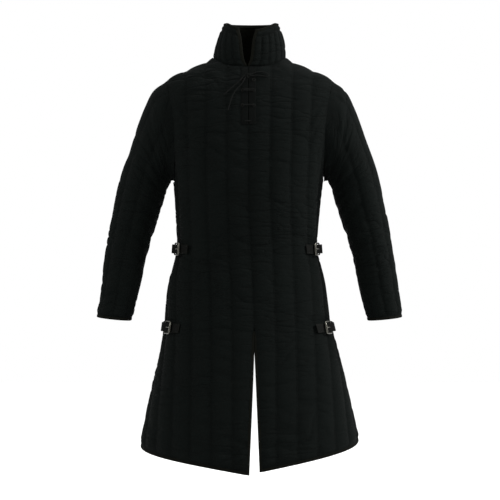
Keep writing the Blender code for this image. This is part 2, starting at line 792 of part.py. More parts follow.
def build_collar_binding(name, collection):
    """Binding along the collar's top edge and down both sides of its opening."""
    sections = []
    thickness = (-STITCH - BINDING_PROUD, BINDING_PROUD)
    rows = [k / COLLAR_ROWS for k in range(COLLAR_ROWS)]
    for share in rows:
        sections.append(collar_edge_section(share, 0, thickness))
    count = COLLAR_CHANNELS * 2
    angles = collar_angles(1.0, count)
    for k, angle in enumerate(angles):
        if k == 0:
            sections.append(collar_corner_section(angle, 0, thickness))
        elif k == count:
            sections.append(collar_corner_section(angle, -1, thickness))
        else:
            sections.append(collar_top_section(angle, thickness))
    for share in reversed(rows):
        sections.append(collar_edge_section(share, -1, thickness))
    shape = bmesh.new()
    loft(shape, sections)
    return add_object(name, close_mesh(name, shape), "binding", collection)


def collar_edge_section(share, end, thickness):
    """Cross-section of the binding beside one front edge of the collar."""
    angle = collar_angles(share, 1)[end]
    side = 1 if end == 0 else -1
    across_front = Vector((side, 0, 0))
    inner, outer = thickness
    width = min(BINDING, read(COLLAR_OPENING, share, "half_gap") - NECK_SLIT_HALF - 0.001)
    near = [collar_point(share, angle, out) + across_front * SEAM_GAP for out in thickness]
    far = [point + across_front * (width - SEAM_GAP) for point in near]
    middle = collar_point(share, angle, (inner + outer) / 2) + across_front * (width + 0.001)
    return [near[0], near[1], far[1], middle, far[0]]


def collar_corner_section(angle, end, thickness):
    """Mitred cross-section where the binding turns from the top edge to the opening."""
    side = 1 if end == 0 else -1
    inner, outer = thickness
    near_shift = Vector((side * SEAM_GAP, 0, SEAM_GAP))
    far_shift = Vector((side * BINDING, 0, BINDING))
    near = [collar_point(1.0, angle, out) + near_shift for out in thickness]
    far = [point + far_shift for point in near]
    middle = collar_point(1.0, angle, (inner + outer) / 2) + far_shift * 1.2
    return [near[0], near[1], far[1], middle, far[0]]


def collar_top_section(angle, thickness):
    """Cross-section of the binding over the collar's top edge."""
    inner, outer = thickness
    up = Vector((0, 0, 1))
    near = [collar_point(1.0, angle, out) + up * SEAM_GAP for out in thickness]
    far = [point + up * BINDING for point in near]
    middle = collar_point(1.0, angle, (inner + outer) / 2) + up * (BINDING + 0.001)
    return [near[0], near[1], far[1], middle, far[0]]


# ---------------------------------------------------------------- skirt bindings

def skirt_edge(face, side):
    """The skirt's free edge as (row, arc, outward across, outward down), slit to vent."""
    rows = [row for row in panel_rows() if row.kind == "lower"]
    slit_head = Row("lower", 1.0 - 0.35 / LOWER_ROWS, True)
    rows.append(slit_head)
    slit = []
    for row in reversed(rows[1:]):
        level = row_height(row, face, side, 0.0)
        slit.append((row, slit_half(face, side, level), 1, 0))
    hem_row = rows[0]
    limit = half_girth(face, side, HEM[side].side_level) - VENT_SETBACK
    start = slit_half(face, side, row_height(hem_row, face, side, 0.0))
    hem = [(hem_row, start, 1, 1)]
    for arc, _ in column_arcs(limit):
        if arc > start:
            hem.append((hem_row, arc, 0, 1))
    hem.append((hem_row, limit, -1, 1))
    vent = []
    for row in rows[1:-1]:
        if vent_setback(row):
            level = row_height(row, face, side, 1.0)
            vent.append((row, half_girth(face, side, level) - VENT_SETBACK, -1, 0))
    return slit + hem + vent


def build_skirt_binding(name, face, side, collection):
    """One strip of binding: down the slit, along the hem and up the side vent."""
    sections = []
    for row, arc, inward, down in skirt_edge(face, side):
        height = row_height(row, face, side, arc)
        section = []
        steps = ((SEAM_GAP, CREST + BINDING_PROUD), (SEAM_GAP, VALLEY - BINDING_PROUD),
                 (BINDING * 0.7, VALLEY - BINDING_PROUD), (BINDING, (CREST + VALLEY) / 2),
                 (BINDING * 0.7, CREST + BINDING_PROUD))
        room = (arc - NECK_SLIT_HALF - SEAM_GAP) / (BINDING - SEAM_GAP)
        narrow = min(1.0, room) if inward == 1 else 1.0
        for reach, inset in steps:
            here = arc - inward * (SEAM_GAP + (reach - SEAM_GAP) * narrow)
            section.append(arc_point(face, side * here, height - down * reach, inset))
        sections.append(section)
    shape = bmesh.new()
    loft(shape, sections)
    return add_object(name, close_mesh(name, shape), "binding", collection)


# ---------------------------------------------------------------- neck slit and lace

def build_facing(name, side, collection):
    """A strip on the first column beside the neck slit, made from the panel's points."""
    step = CHANNEL / POINTS_PER_CHANNEL
    rows = [row for row in panel_rows() if on_placket(row)]
    base = CREST - PLACKET_WALL - SEAM_GAP
    shape = bmesh.new()
    sections = []
    for row in rows:
        xs = [upper_x(FRONT, 0.0, row.share) + side * NECK_SLIT_HALF,
              upper_x(FRONT, side * step, row.share)]
        section = []
        for x, inset in ((xs[0], base), (xs[1], base),
                         (xs[1], base - FACING_THICKNESS), (xs[0], base - FACING_THICKNESS)):
            section.append(form_point(FRONT, x, upper_height(FRONT, x, row.share), inset))
        sections.append(section)
    loft(shape, sections)
    return add_object(name, close_mesh(name, shape), "facing", collection)


def facing_point(x, height, lift):
    """Point over the facings of the neck slit; x is measured from the slit's line."""
    base = CREST - PLACKET_WALL - SEAM_GAP - FACING_THICKNESS
    return form_point(FRONT, read(CENTRE_LINE, -0.08, "x") + x, height, base - lift)


def tube(name, points, diameter, kind, collection, sides=6):
    """A round cord or wire through the given points."""
    curve = bpy.data.curves.new(name, "CURVE")
    curve.dimensions = "3D"
    curve.bevel_depth = diameter / 2
    curve.bevel_resolution = (sides - 4) // 2
    curve.use_fill_caps = True
    spline = curve.splines.new("POLY")
    spline.points.add(len(points) - 1)
    for slot, point in zip(spline.points, points):
        slot.co = (*point, 1.0)
    curve.materials.append(material(kind))
    piece = bpy.data.objects.new(name, curve)
    collection.objects.link(piece)
    return piece


def smooth_route(stops, pieces):
    """Points on a smooth curve through a cord's stops."""
    route = []
    for k in range(len(stops) - 1):
        before, a = stops[max(k - 1, 0)], stops[k]
        b, after = stops[k + 1], stops[min(k + 2, len(stops) - 1)]
        for i in range(pieces):
            t = i / pieces
            pull_a, pull_b = (b - before) / 2, (after - a) / 2
            route.append((2 * t**3 - 3 * t**2 + 1) * a + (t**3 - 2 * t**2 + t) * pull_a
                         + (3 * t**2 - 2 * t**3) * b + (t**3 - t**2) * pull_b)
    route.append(stops[-1])
    return route


# ---------------------------------------------------------------- straps and buckles

def side_point(side, arc, height, lift):
    """Point over the body near the side seam; a negative arc is towards the front."""
    face = FRONT if arc < 0 else BACK
    centre = read(BODY, height, "centre")
    quarter = section_arc(face, height)
    x = across(quarter, quarter[-1][0] - abs(arc))
    return form_point(face, centre + side * x, height, -lift)


def strap_point(side, arc, level, lift):
    """Point over the body that clears the cloth where it dips at the waist."""
    return side_point(side, arc, level, lift + STRAP_SEAT)


def buckle_frame(side, level, arc):
    """The buckle's own frame: along the strap towards the back, up or down, and out."""
    step = 0.002
    origin = strap_point(side, arc, level, 0.0)
    along = (strap_point(side, arc + step, level, 0.0) - origin).normalized()
    out = (strap_point(side, arc, level, step) - origin).normalized()
    upright = out.cross(along).normalized()
    out = along.cross(upright).normalized()
    matrix = Matrix((along, upright, out)).transposed().to_4x4()
    matrix.translation = origin
    return matrix


def strap_station(side, level, arc, stop, frame):
    """Middle of a strap at a stop, and the direction of its width."""
    if stop.frame == "true":
        middle = frame @ Vector((stop.arc, 0, stop.lift))
        return middle, (frame.to_3x3() @ Vector((0, 1, 0))) * (1 if side == RIGHT else -1)
    half = STRAP_WIDTH / 2
    high = strap_point(side, arc + stop.arc, level + half, stop.lift)
    low = strap_point(side, arc + stop.arc, level - half, stop.lift)
    return (high + low) / 2, (high - low).normalized()


def build_strap(name, side, level, arc, path, collection):
    """A flat strip of webbing along a path on the garment's side."""
    frame = buckle_frame(side, level, arc)
    stations = [strap_station(side, level, arc, stop, frame) for stop in path]
    sections = []
    for k, (middle, width) in enumerate(stations):
        before = stations[max(k - 1, 0)][0]
        after = stations[min(k + 1, len(stations) - 1)][0]
        normal = (after - before).cross(width).normalized()
        w, t = width * STRAP_WIDTH / 2, normal * STRAP_THICKNESS / 2
        sections.append([middle + w + t, middle - w + t, middle - w - t, middle + w - t])
    shape = bmesh.new()
    loft(shape, sections)
    return add_object(name, close_mesh(name, shape), "strap", collection)


def frame_wire():
    """Rounded rectangle of wire, as a closed curve in the buckle's own plane."""
    half_length, half_height = BAR, (FRAME_HEIGHT - FRAME_WIRE) / 2
    curve = bpy.data.curves.new("buckle_frame", "CURVE")
    curve.dimensions = "3D"
    curve.bevel_depth = FRAME_WIRE / 2
    curve.bevel_resolution = 1
    spline = curve.splines.new("POLY")
    points = []
    for quarter, (x, y) in enumerate(((1, 1), (-1, 1), (-1, -1), (1, -1))):
        for i in range(3):
            angle = math.pi / 2 * (quarter + i / 2)
            points.append((x * (half_length - FRAME_CORNER) + FRAME_CORNER * math.cos(angle),
                           y * (half_height - FRAME_CORNER) + FRAME_CORNER * math.sin(angle),
                           FRAME_LIFT))
    spline.points.add(len(points) - 1)
    for slot, point in zip(spline.points, points):
        slot.co = (*point, 1.0)
    spline.use_cyclic_u = True
    curve.materials.append(material("nickel"))
    return curve


def roller_mesh():
    """Hollow roller on the buckle's front bar."""
    shape = bmesh.new()
    sides = 10
    rings = []
    for radius, y in ((ROLLER / 2, -1), (ROLLER / 2, 1), (ROLLER_BORE / 2, 1), (ROLLER_BORE / 2, -1)):
        ring = []
        for k in range(sides):
            angle = 2 * math.pi * k / sides
            ring.append(shape.verts.new((radius * math.cos(angle) - BAR, y * ROLLER_LENGTH / 2,
                                         FRAME_LIFT + radius * math.sin(angle))))
        rings.append(ring)
    for a, b in zip(rings, rings[1:] + rings[:1]):
        for k in range(sides):
            nxt = (k + 1) % sides
            shape.faces.new((a[k], a[nxt], b[nxt], b[k]))
    return close_mesh("buckle_roller", shape)


def pin_route():
    """The pin from the strap's hole to the top of the roller."""
    top = FRAME_LIFT + ROLLER / 2 + PIN_WIRE / 2 + SEAM_GAP
    return [Vector((0.0010, 0, 0.0094)), Vector((-0.0060, 0, top + 0.0002)),
            Vector((-BAR, 0, top)), Vector((-BAR - 0.0040, 0, top - 0.0012))]


def build_buckles(collection):
    """Waist and hip straps of both sides, fastened."""
    wire = frame_wire()
    roller = roller_mesh()
    for place, (level, arc) in STRAPS.items():
        for side, word in ((LEFT, "left"), (RIGHT, "right")):
            tag = f"{place}_{word}"
            frame = buckle_frame(side, level, arc)
            build_strap(f"strap_{tag}", side, level, arc, STRAP_PATH, collection)
            build_strap(f"chape_{tag}", side, level, arc, CHAPE_PATH, collection)
            loop = bpy.data.objects.new(f"buckle_frame_{tag}", wire)
            collection.objects.link(loop)
            loop.matrix_world = frame
            barrel = add_object(f"buckle_roller_{tag}", roller, "nickel", collection)
            barrel.matrix_world = frame
            pin = tube(f"buckle_pin_{tag}", pin_route(), PIN_WIRE, "nickel", collection)
            pin.matrix_world = frame


def lace_points(stops, pieces):
    middle = read(CENTRE_LINE, -0.08, "x")
    route = smooth_route([Vector(stop) for stop in stops], pieces)
    return [form_point(FRONT, middle + x, z, -lift) for x, z, lift in route]


def build_lace(collection):
    """Eyelets, lacing bars, knot, bow loop and two free ends."""
    for number, level in enumerate(EYELET_LEVELS, start=1):
        for side, word in ((LEFT, "left"), (RIGHT, "right")):
            build_eyelet(f"eyelet_{number}_{word}", side * EYELET_SIDE, level, collection)
    lift = EYELET_WIRE * 2 + 2 * SEAM_GAP + LACE / 2
    for place, level in LACING_LEVELS.items():
        reach = EYELET_SIDE
        points = [facing_point(reach * (k / 3 - 1), level, lift) for k in range(7)]
        tube(f"lacing_{place}", points, LACE, "lace", collection)
    middle = read(CENTRE_LINE, -0.08, "x")
    knot = bmesh.new()
    bmesh.ops.create_uvsphere(knot, u_segments=12, v_segments=8, radius=1.0)
    bmesh.ops.scale(knot, vec=KNOT_SIZE, verts=knot.verts)
    seat = form_point(FRONT, middle + KNOT.x, KNOT.z, -KNOT.lift)
    bmesh.ops.translate(knot, vec=seat, verts=knot.verts)
    add_object("lace_knot", close_mesh("lace_knot", knot), "lace", collection)
    tube("lace_end_long", lace_points(LACE_END_LONG, 3), LACE, "lace", collection)
    tube("lace_end_short", lace_points(LACE_END_SHORT, 3), LACE, "lace", collection)
    tube("lace_loop", lace_points(LACE_LOOP, 3), LACE, "lace", collection)
    tack = [facing_point(x, NECK_SLIT_END + 0.004, 0.0014) for x in (-0.008, 0.0, 0.008)]
    tube("slit_bar_tack", tack, 0.0022, "binding", collection)


def build_eyelet(name, x, level, collection):
    """A worked ring of thread on a facing."""
    curve = bpy.data.curves.new(name, "CURVE")
    curve.dimensions = "3D"
    curve.bevel_depth = EYELET_WIRE
    curve.bevel_resolution = 1
    spline = curve.splines.new("POLY")
    count = 10
    spline.points.add(count - 1)
    for k, slot in enumerate(spline.points):
        angle = 2 * math.pi * k / count
        point = facing_point(x + EYELET_RADIUS * math.cos(angle),
                             level + EYELET_RADIUS * math.sin(angle), EYELET_WIRE + SEAM_GAP)
        slot.co = (*point, 1.0)
    spline.use_cyclic_u = True
    curve.materials.append(material("lace"))
    piece = bpy.data.objects.new(name, curve)
    collection.objects.link(piece)


def build_all():
    """Make every piece of the garment."""
    for old in list(bpy.data.objects):
        bpy.data.objects.remove(old, do_unlink=True)
    garment = bpy.data.collections.new("gambeson")
    bpy.context.scene.collection.children.link(garment)

    build_panel("front_panel", FRONT, garment)
    build_panel("back_panel", BACK, garment)
    for side, word in ((LEFT, "left"), (RIGHT, "right")):
        build_sleeve(f"sleeve_{word}", side, garment)
        build_cuff_binding(f"cuff_binding_{word}", side, garment)
        for face, panel in ((FRONT, "front"), (BACK, "back")):
            build_skirt_binding(f"skirt_binding_{panel}_{word}", face, side, garment)
        build_facing(f"neck_facing_{word}", side, garment)
    build_collar("collar", garment)
    build_collar_binding("collar_binding", garment)
    build_lace(garment)
    build_buckles(garment)


build_all()
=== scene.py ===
import math

import bmesh
import bpy
import numpy as np
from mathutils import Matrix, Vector


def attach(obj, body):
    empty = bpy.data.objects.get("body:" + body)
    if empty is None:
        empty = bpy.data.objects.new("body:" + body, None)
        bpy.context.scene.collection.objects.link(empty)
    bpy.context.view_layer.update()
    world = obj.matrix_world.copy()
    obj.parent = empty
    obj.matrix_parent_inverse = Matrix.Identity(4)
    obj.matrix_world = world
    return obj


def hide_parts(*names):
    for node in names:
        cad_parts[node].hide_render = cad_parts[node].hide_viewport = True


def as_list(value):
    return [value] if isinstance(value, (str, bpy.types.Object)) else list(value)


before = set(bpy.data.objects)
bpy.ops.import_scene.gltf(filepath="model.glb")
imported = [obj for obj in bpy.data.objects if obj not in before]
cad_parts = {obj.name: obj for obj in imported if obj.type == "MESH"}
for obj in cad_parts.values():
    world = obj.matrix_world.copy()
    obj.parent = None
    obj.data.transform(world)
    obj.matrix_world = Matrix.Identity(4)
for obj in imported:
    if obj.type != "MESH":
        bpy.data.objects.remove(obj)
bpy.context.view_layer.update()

scene = bpy.context.scene
front, back = -1, 1
left, right = -1, 1
sideWord = {left: "left", right: "right"}
faceWord = {front: "front", back: "back"}
print("frame loaded")

studio = {
    "cameraPlace": (0.00125, -3.2, -0.46),
    "cameraAim": (0.00125, 0.0, -0.46),
    "halfView": 0.625,    # half the view at the aim, in metres
    "floorLevel": -1.52,    # where the wearer's feet would be
    "floorSize": 14.0,
    "worldStrength": 1.0,
    "lights": [    # name, place, aim, size, watts
        ("lightLeft", (-2.4, -0.9, 0.6), (0, 0, -0.45), 1.6, 96),
        ("lightRight", (2.4, -0.5, 0.9), (0, 0, -0.4), 1.4, 270),
        ("lightFront", (0.2, -3.2, 1.9), (0, 0, -0.4), 1.8, 60),
        ("lightTop", (0.2, 0.3, 2.3), (0, 0, 0), 1.4, 60),
    ],
}


def standAt(data, place, aim):    # an object at its place, looking at its aim
    thing = bpy.data.objects.new(data.name, data)
    scene.collection.objects.link(thing)
    thing.location = place
    thing.rotation_euler = (Vector(aim) - Vector(place)).to_track_quat("-Z", "Y").to_euler()
    return thing


def makeCamera():
    data = bpy.data.cameras.new("camera")
    reach = (Vector(studio["cameraAim"]) - Vector(studio["cameraPlace"])).length
    data.sensor_fit = "HORIZONTAL"
    data.angle = 2 * math.atan(studio["halfView"] / reach)
    scene.camera = standAt(data, studio["cameraPlace"], studio["cameraAim"])


def makeLights():
    world = bpy.data.worlds.new("softWhite")
    world.use_nodes = True
    background = world.node_tree.nodes["Background"]
    background.inputs["Color"].default_value = (1, 1, 1, 1)
    background.inputs["Strength"].default_value = studio["worldStrength"]
    scene.world = world
    scene.view_settings.view_transform = "Standard"
    for name, place, aim, size, watts in studio["lights"]:
        data = bpy.data.lights.new(name, "AREA")
        data.shape, data.size, data.energy = "DISK", size, watts
        standAt(data, place, aim)


makeCamera()
makeLights()
print("camera and lights placed")


class Value:    # an output in a node tree; arithmetic on values adds math nodes

    def __init__(self, tree, socket):
        self.tree, self.socket = tree, socket

    def through(self, kind, *inputs, **settings):
        return addNode(self.tree, kind, *inputs, **settings)

    def maths(self, operation, *others):
        return self.through("ShaderNodeMath", (0, self), *enumerate(others, 1), operation=operation)

    def mapped(self, fromLow, fromHigh, toLow, toHigh):
        return self.through("ShaderNodeMapRange", ("Value", self), ("From Min", fromLow),
                            ("From Max", fromHigh), ("To Min", toLow), ("To Max", toHigh), output="Result")

    def noise(self, scale, detail=3.0, roughness=0.55):
        return self.through("ShaderNodeTexNoise", ("Vector", self), ("Scale", scale), ("Detail", detail),
                            ("Roughness", roughness), output="Fac")

    def stretched(self, *factors):
        return self.through("ShaderNodeVectorMath", (0, self), (1, factors), operation="MULTIPLY")

    def shading(self, colour):    # a flat colour multiplied by this value
        return self.through("ShaderNodeVectorMath", (0, colour), ("Scale", self), operation="SCALE")

    def bump(self, distance, *under):
        return self.through("ShaderNodeBump", ("Height", self), ("Distance", distance), ("Strength", 1.0),
                            *(("Normal", normal) for normal in under), output="Normal")

    def parts(self):
        node = self.tree.nodes.new("ShaderNodeSeparateXYZ")
        plug(self, node.inputs[0])
        return [Value(self.tree, socket) for socket in node.outputs]

    def __add__(self, other):
        return self.maths("ADD", other)

    def __sub__(self, other):
        return self.maths("SUBTRACT", other)

    def __mul__(self, other):
        return self.maths("MULTIPLY", other)

    def __rsub__(self, number):
        return self.through("ShaderNodeMath", (0, number), (1, self), operation="SUBTRACT")


def plug(value, socket):    # a link from a value, or a plain number
    if isinstance(value, Value):
        value.tree.links.new(value.socket, socket)
    else:
        socket.default_value = value


def addNode(tree, kind, *inputs, output=0, **settings):    # a new node fed by numbers or values
    node = tree.nodes.new(kind)
    for label, setting in settings.items():
        setattr(node, label, setting)
    for slot, value in inputs:
        plug(value, node.inputs[slot])
    return Value(tree, node.outputs[output])


def objectPlace(tree):
    return addNode(tree, "ShaderNodeTexCoord", output="Object")


def stored(tree, name, output="Fac"):    # a value kept at each point of a piece
    return addNode(tree, "ShaderNodeAttribute", output=output, attribute_name=name)


def makeGroup(wire, outputs, **numbers):    # a shared effect of a place and some numbers
    group = bpy.data.node_groups.new(wire.__name__, "ShaderNodeTree")
    group.interface.new_socket(name="Place", in_out="INPUT", socket_type="NodeSocketVector")
    for label, number in numbers.items():
        socket = group.interface.new_socket(name=label, in_out="INPUT", socket_type="NodeSocketFloat")
        socket.default_value = number
    for label in outputs:
        group.interface.new_socket(name=label, in_out="OUTPUT", socket_type="NodeSocketFloat")
    start, end = group.nodes.new("NodeGroupInput"), group.nodes.new("NodeGroupOutput")
    sources = [Value(group, start.outputs[label]) for label in ("Place", *numbers)]
    for label, made in zip(outputs, wire(*sources)):
        plug(made, end.inputs[label])
    return group


def useGroup(group, place, **numbers):
    node = place.tree.nodes.new("ShaderNodeGroup")
    node.node_tree = group
    for label, value in {"Place": place, **numbers}.items():
        plug(value, node.inputs[label])
    return [Value(place.tree, socket) for socket in node.outputs]


def threadWeave(place, threads, twill):    # threads over and under; the raised threads are painted lighter and the hollows darker, as painted shade
    x, y, _ = place.parts()
    turns = threads * (2 * math.pi)
    warp = ((x + y * twill) * turns).maths("SINE")
    weft = (y * turns).maths("SINE")
    height = warp * weft * 0.35 + place.stretched(900.0, 160.0, 1.0).noise(1.0, 2.0) * 0.9
    # painted shade: the same height that bumps the weave lightens its tops and darkens its hollows
    return height, height.mapped(0.0, 1.0, 0.82, 1.18)


def runningStitch(place, distance, length, width):    # the thread on the cloth, and the cloth it pulls down; the pulled groove also serves as painted shade
    swell = (place.parts()[1].maths("DIVIDE", length).maths("FRACT") * math.pi).maths("SINE")
    dash = (swell * 1.6).maths("SMOOTH_MIN", 1.0, 0.2)
    thread = distance.mapped(0.0, width, 1.0, 0.0).maths("MAXIMUM", 0.0) * dash
    pullAndGrooveShade = distance.mapped(0.0, 0.005, 1.0, 0.0) * (1.0 - swell)
    return thread, pullAndGrooveShade.maths("MAXIMUM", 0.0)


def dyeAndLint(place, fade, lint):    # uneven dye, and flecks of lint
    mixed = place.noise(9.0, 3.0) * 0.6 + place.noise(130.0, 4.0, 0.7) * 0.4
    speck = place.stretched(420.0, 260.0, 300.0).noise(1.0, 1.0)
    return (mixed - 0.5) * (fade * 2.0) + 1.0, speck.mapped(0.74, 0.8, 0.0, 1.0) * lint


def softCrumple(place):    # soft creases that run across the channels, finer ones among them; the creases are also painted darker, as painted shade
    creases = []
    sizes = ((11.0, 44.0, 14.0), 0.7), ((30.0, 84.0, 30.0), 0.24), ((110.0, 170.0, 110.0), 0.08)
    for factors, depth in sizes:
        fold = (place.stretched(*factors).noise(1.0, 1.5, 0.5) - 0.5).maths("ABSOLUTE")
        creases.append((1.0 - (fold * 7.0).maths("MINIMUM", 1.0)).maths("POWER", 2.2) * -depth)
    calm = place.noise(5.5, 2.0).mapped(0.38, 0.62, 0.18, 1.0)
    height = (creases[0] + creases[1] + creases[2]) * calm
    # painted shade: darker in the creases, a little lighter between them
    return height, height * 0.22 + 1.04


def metalWear(place, scale):    # dull patches and fine scratches
    line = place.stretched(1.0, 0.12, 1.0).noise(scale, 2.0)
    return place.noise(160.0, 4.0, 0.6) * 0.65 + line * 0.35, line


weaveGroup = makeGroup(threadWeave, ["Height", "Shade"], Threads=1400.0, Twill=0.0)
stitchGroup = makeGroup(runningStitch, ["Thread", "PullAndGrooveShade"], Distance=1.0, Length=0.0036, Width=0.0009)
lintGroup = makeGroup(dyeAndLint, ["Shade", "Fleck"], Fade=0.25, Lint=0.5)
crumpleGroup = makeGroup(softCrumple, ["Height", "Shade"])
wearGroup = makeGroup(metalWear, ["Dull", "Height"], Scale=900.0)

plainCloth = {"sheen": 0.002, "specular": 0.018, "twill": 0.0, "depth": 0.00022, "lint": 0.3, "fade": 0.25}
tapeCloth = plainCloth | {"threads": 1300.0, "twill": 1.0, "depth": 0.0002, "crumple": 0.0008}
clothLook = {    # threads to the metre; depths of the weave and of the crumpling in metres
    "quiltedCotton": plainCloth | {"colour": (0.0011, 0.0015, 0.00134), "rough": 0.93, "threads": 1150.0,
                                   "lint": 0.35, "fade": 0.22, "crumple": 0.0034},
    # the inner walls' cloth: its own olive tint, and darker than the outer cloth as painted shade for the
    # coat's inside
    "plainInside": plainCloth | {"colour": (0.001, 0.0011, 0.0007), "rough": 0.95, "sheen": 0.001,
                                 "specular": 0.012, "threads": 1000.0, "lint": 0.5, "fade": 0.3,
                                 "crumple": 0.003},
    "bindingTape": tapeCloth | {"colour": (0.00125, 0.00135, 0.0009), "rough": 0.86},
    "facingTape": tapeCloth | {"colour": (0.00085, 0.00108, 0.00096), "rough": 0.92},
}

colour = {
    "laceCord": (0.0021, 0.0023, 0.0021), "strapLeather": (0.0007, 0.0008, 0.0006),
    "nickelWire": (0.055, 0.054, 0.046), "buttonholeThread": (0.0026, 0.0028, 0.0024),
    "paleFloor": (0.93, 0.93, 0.93),
}


def makeMaterial(name, paint, rough, sheen=0.0, sheenRough=0.5, specular=0.5, metallic=0.0):
    made = bpy.data.materials.new(name)
    made.use_nodes = True
    shader = made.node_tree.nodes["Principled BSDF"]
    numbers = {"Roughness": rough, "Sheen Weight": sheen, "Sheen Roughness": sheenRough,
               "Specular IOR Level": specular, "Metallic": metallic}
    for label, value in {**numbers, **paint(made.node_tree)}.items():
        plug(value, shader.inputs[label])
    return made


def clothMaterial(name, stitched):
    look = clothLook[name]

    def paint(tree):
        place = stored(tree, "clothPlace", "Vector")
        weave, weaveShade = useGroup(weaveGroup, place, Threads=look["threads"], Twill=look["twill"])
        dye, fleck = useGroup(lintGroup, place, Fade=look["fade"], Lint=look["lint"])
        crumple, crumpleShade = useGroup(crumpleGroup, place)
        rubbed = stored(tree, "crestShare").mapped(0.0, 1.0, 0.84, 1.06)    # crests a little paler from rubbing, stitch valleys painted darker as painted shade
        shade = (weaveShade * dye * rubbed + fleck * 3.0) * crumpleShade
        normal = weave.bump(look["depth"], crumple.bump(look["crumple"]))
        if stitched:
            thread, pullAndGrooveShade = useGroup(stitchGroup, place, Distance=stored(tree, "stitchLine"))
            # painted shade: the cloth is darkened where the stitch pulls it into a groove
            shade = shade * pullAndGrooveShade.mapped(0.0, 1.0, 1.0, 0.8) + thread * 0.7
            normal = (thread - pullAndGrooveShade * 0.7).bump(0.0006, normal)
        rough = dye.mapped(0.7, 1.3, look["rough"] - 0.05, look["rough"] + 0.05)
        return {"Base Color": shade.shading(look["colour"]), "Roughness": rough, "Normal": normal}

    return makeMaterial(name, paint, look["rough"], look["sheen"], 0.45, look["specular"])


def cordPaint(tree):    # plied cotton: fine fibres over the modelled plies
    place = objectPlace(tree)
    fibre = place.stretched(2600.0, 2600.0, 900.0).noise(1.0)
    dye, _ = useGroup(lintGroup, place, Fade=0.35, Lint=0.6)
    shade = fibre.mapped(0.3, 0.7, 0.75, 1.25) * dye
    return {"Base Color": shade.shading(colour["laceCord"]), "Normal": fibre.bump(0.0002)}


def leatherPaint(tree):    # pebbled grain, edges rubbed grey, fine creases; the hole pits painted black as painted shade
    place = objectPlace(tree)
    cell = place.through("ShaderNodeTexVoronoi", ("Vector", place), ("Scale", 850.0), output="Distance",
                         feature="DISTANCE_TO_EDGE")
    grain = (cell * 4.0).maths("MINIMUM", 1.0)
    crease = place.noise(240.0, 5.0, 0.65)
    wear = stored(tree, "edgeShare") * crease.mapped(0.35, 0.7, 0.3, 1.0)
    # painted shade: the hole pits are painted black
    shade = (crease.mapped(0.3, 0.7, 0.8, 1.2) + wear * 1.6) * (1.0 - stored(tree, "holeShare"))
    return {"Base Color": shade.shading(colour["strapLeather"]),
            "Roughness": crease.mapped(0.3, 0.7, 0.54, 0.72), "Normal": (grain * 0.5 + crease).bump(0.00022)}


def nickelPaint(tree):
    dull, scratch = useGroup(wearGroup, objectPlace(tree))
    return {"Base Color": dull.mapped(0.3, 0.7, 1.06, 0.86).shading(colour["nickelWire"]),
            "Roughness": dull.mapped(0.35, 0.65, 0.26, 0.46), "Normal": scratch.bump(0.00003)}


def threadPaint(tree):    # worked eyelets, bar tack and strap stitching
    fibre = objectPlace(tree).noise(2200.0)
    return {"Base Color": fibre.mapped(0.3, 0.7, 0.7, 1.3).shading(colour["buttonholeThread"]),
            "Normal": fibre.bump(0.00015)}


def floorPaint(tree):
    cloud = objectPlace(tree).noise(1.6)
    return {"Base Color": cloud.mapped(0.3, 0.7, 0.985, 1.01).shading(colour["paleFloor"])}


quiltedCotton = clothMaterial("quiltedCotton", True)
plainInside = clothMaterial("plainInside", True)
bindingTape = clothMaterial("bindingTape", False)
facingTape = clothMaterial("facingTape", True)
laceCord = makeMaterial("laceCord", cordPaint, 0.8, 0.004, 0.5, 0.02)
strapLeather = makeMaterial("strapLeather", leatherPaint, 0.62, specular=0.022)
nickelWire = makeMaterial("nickelWire", nickelPaint, 0.34, metallic=1.0)
buttonholeThread = makeMaterial("buttonholeThread", threadPaint, 0.7, 0.004, 0.4, 0.03)
paleFloor = makeMaterial("paleFloor", floorPaint, 0.9, specular=0.1)
print("materials made")


def makeFloor():
    half, level = studio["floorSize"] / 2, studio["floorLevel"]
    mesh = bpy.data.meshes.new("floor")
    corners = [(-half, -half, level), (half, -half, level), (half, half, level), (-half, half, level)]
    mesh.from_pydata(corners, [], [(0, 1, 2, 3)])
    mesh.materials.append(paleFloor)
    floor = bpy.data.objects.new("floor", mesh)
    scene.collection.objects.link(floor)


makeFloor()

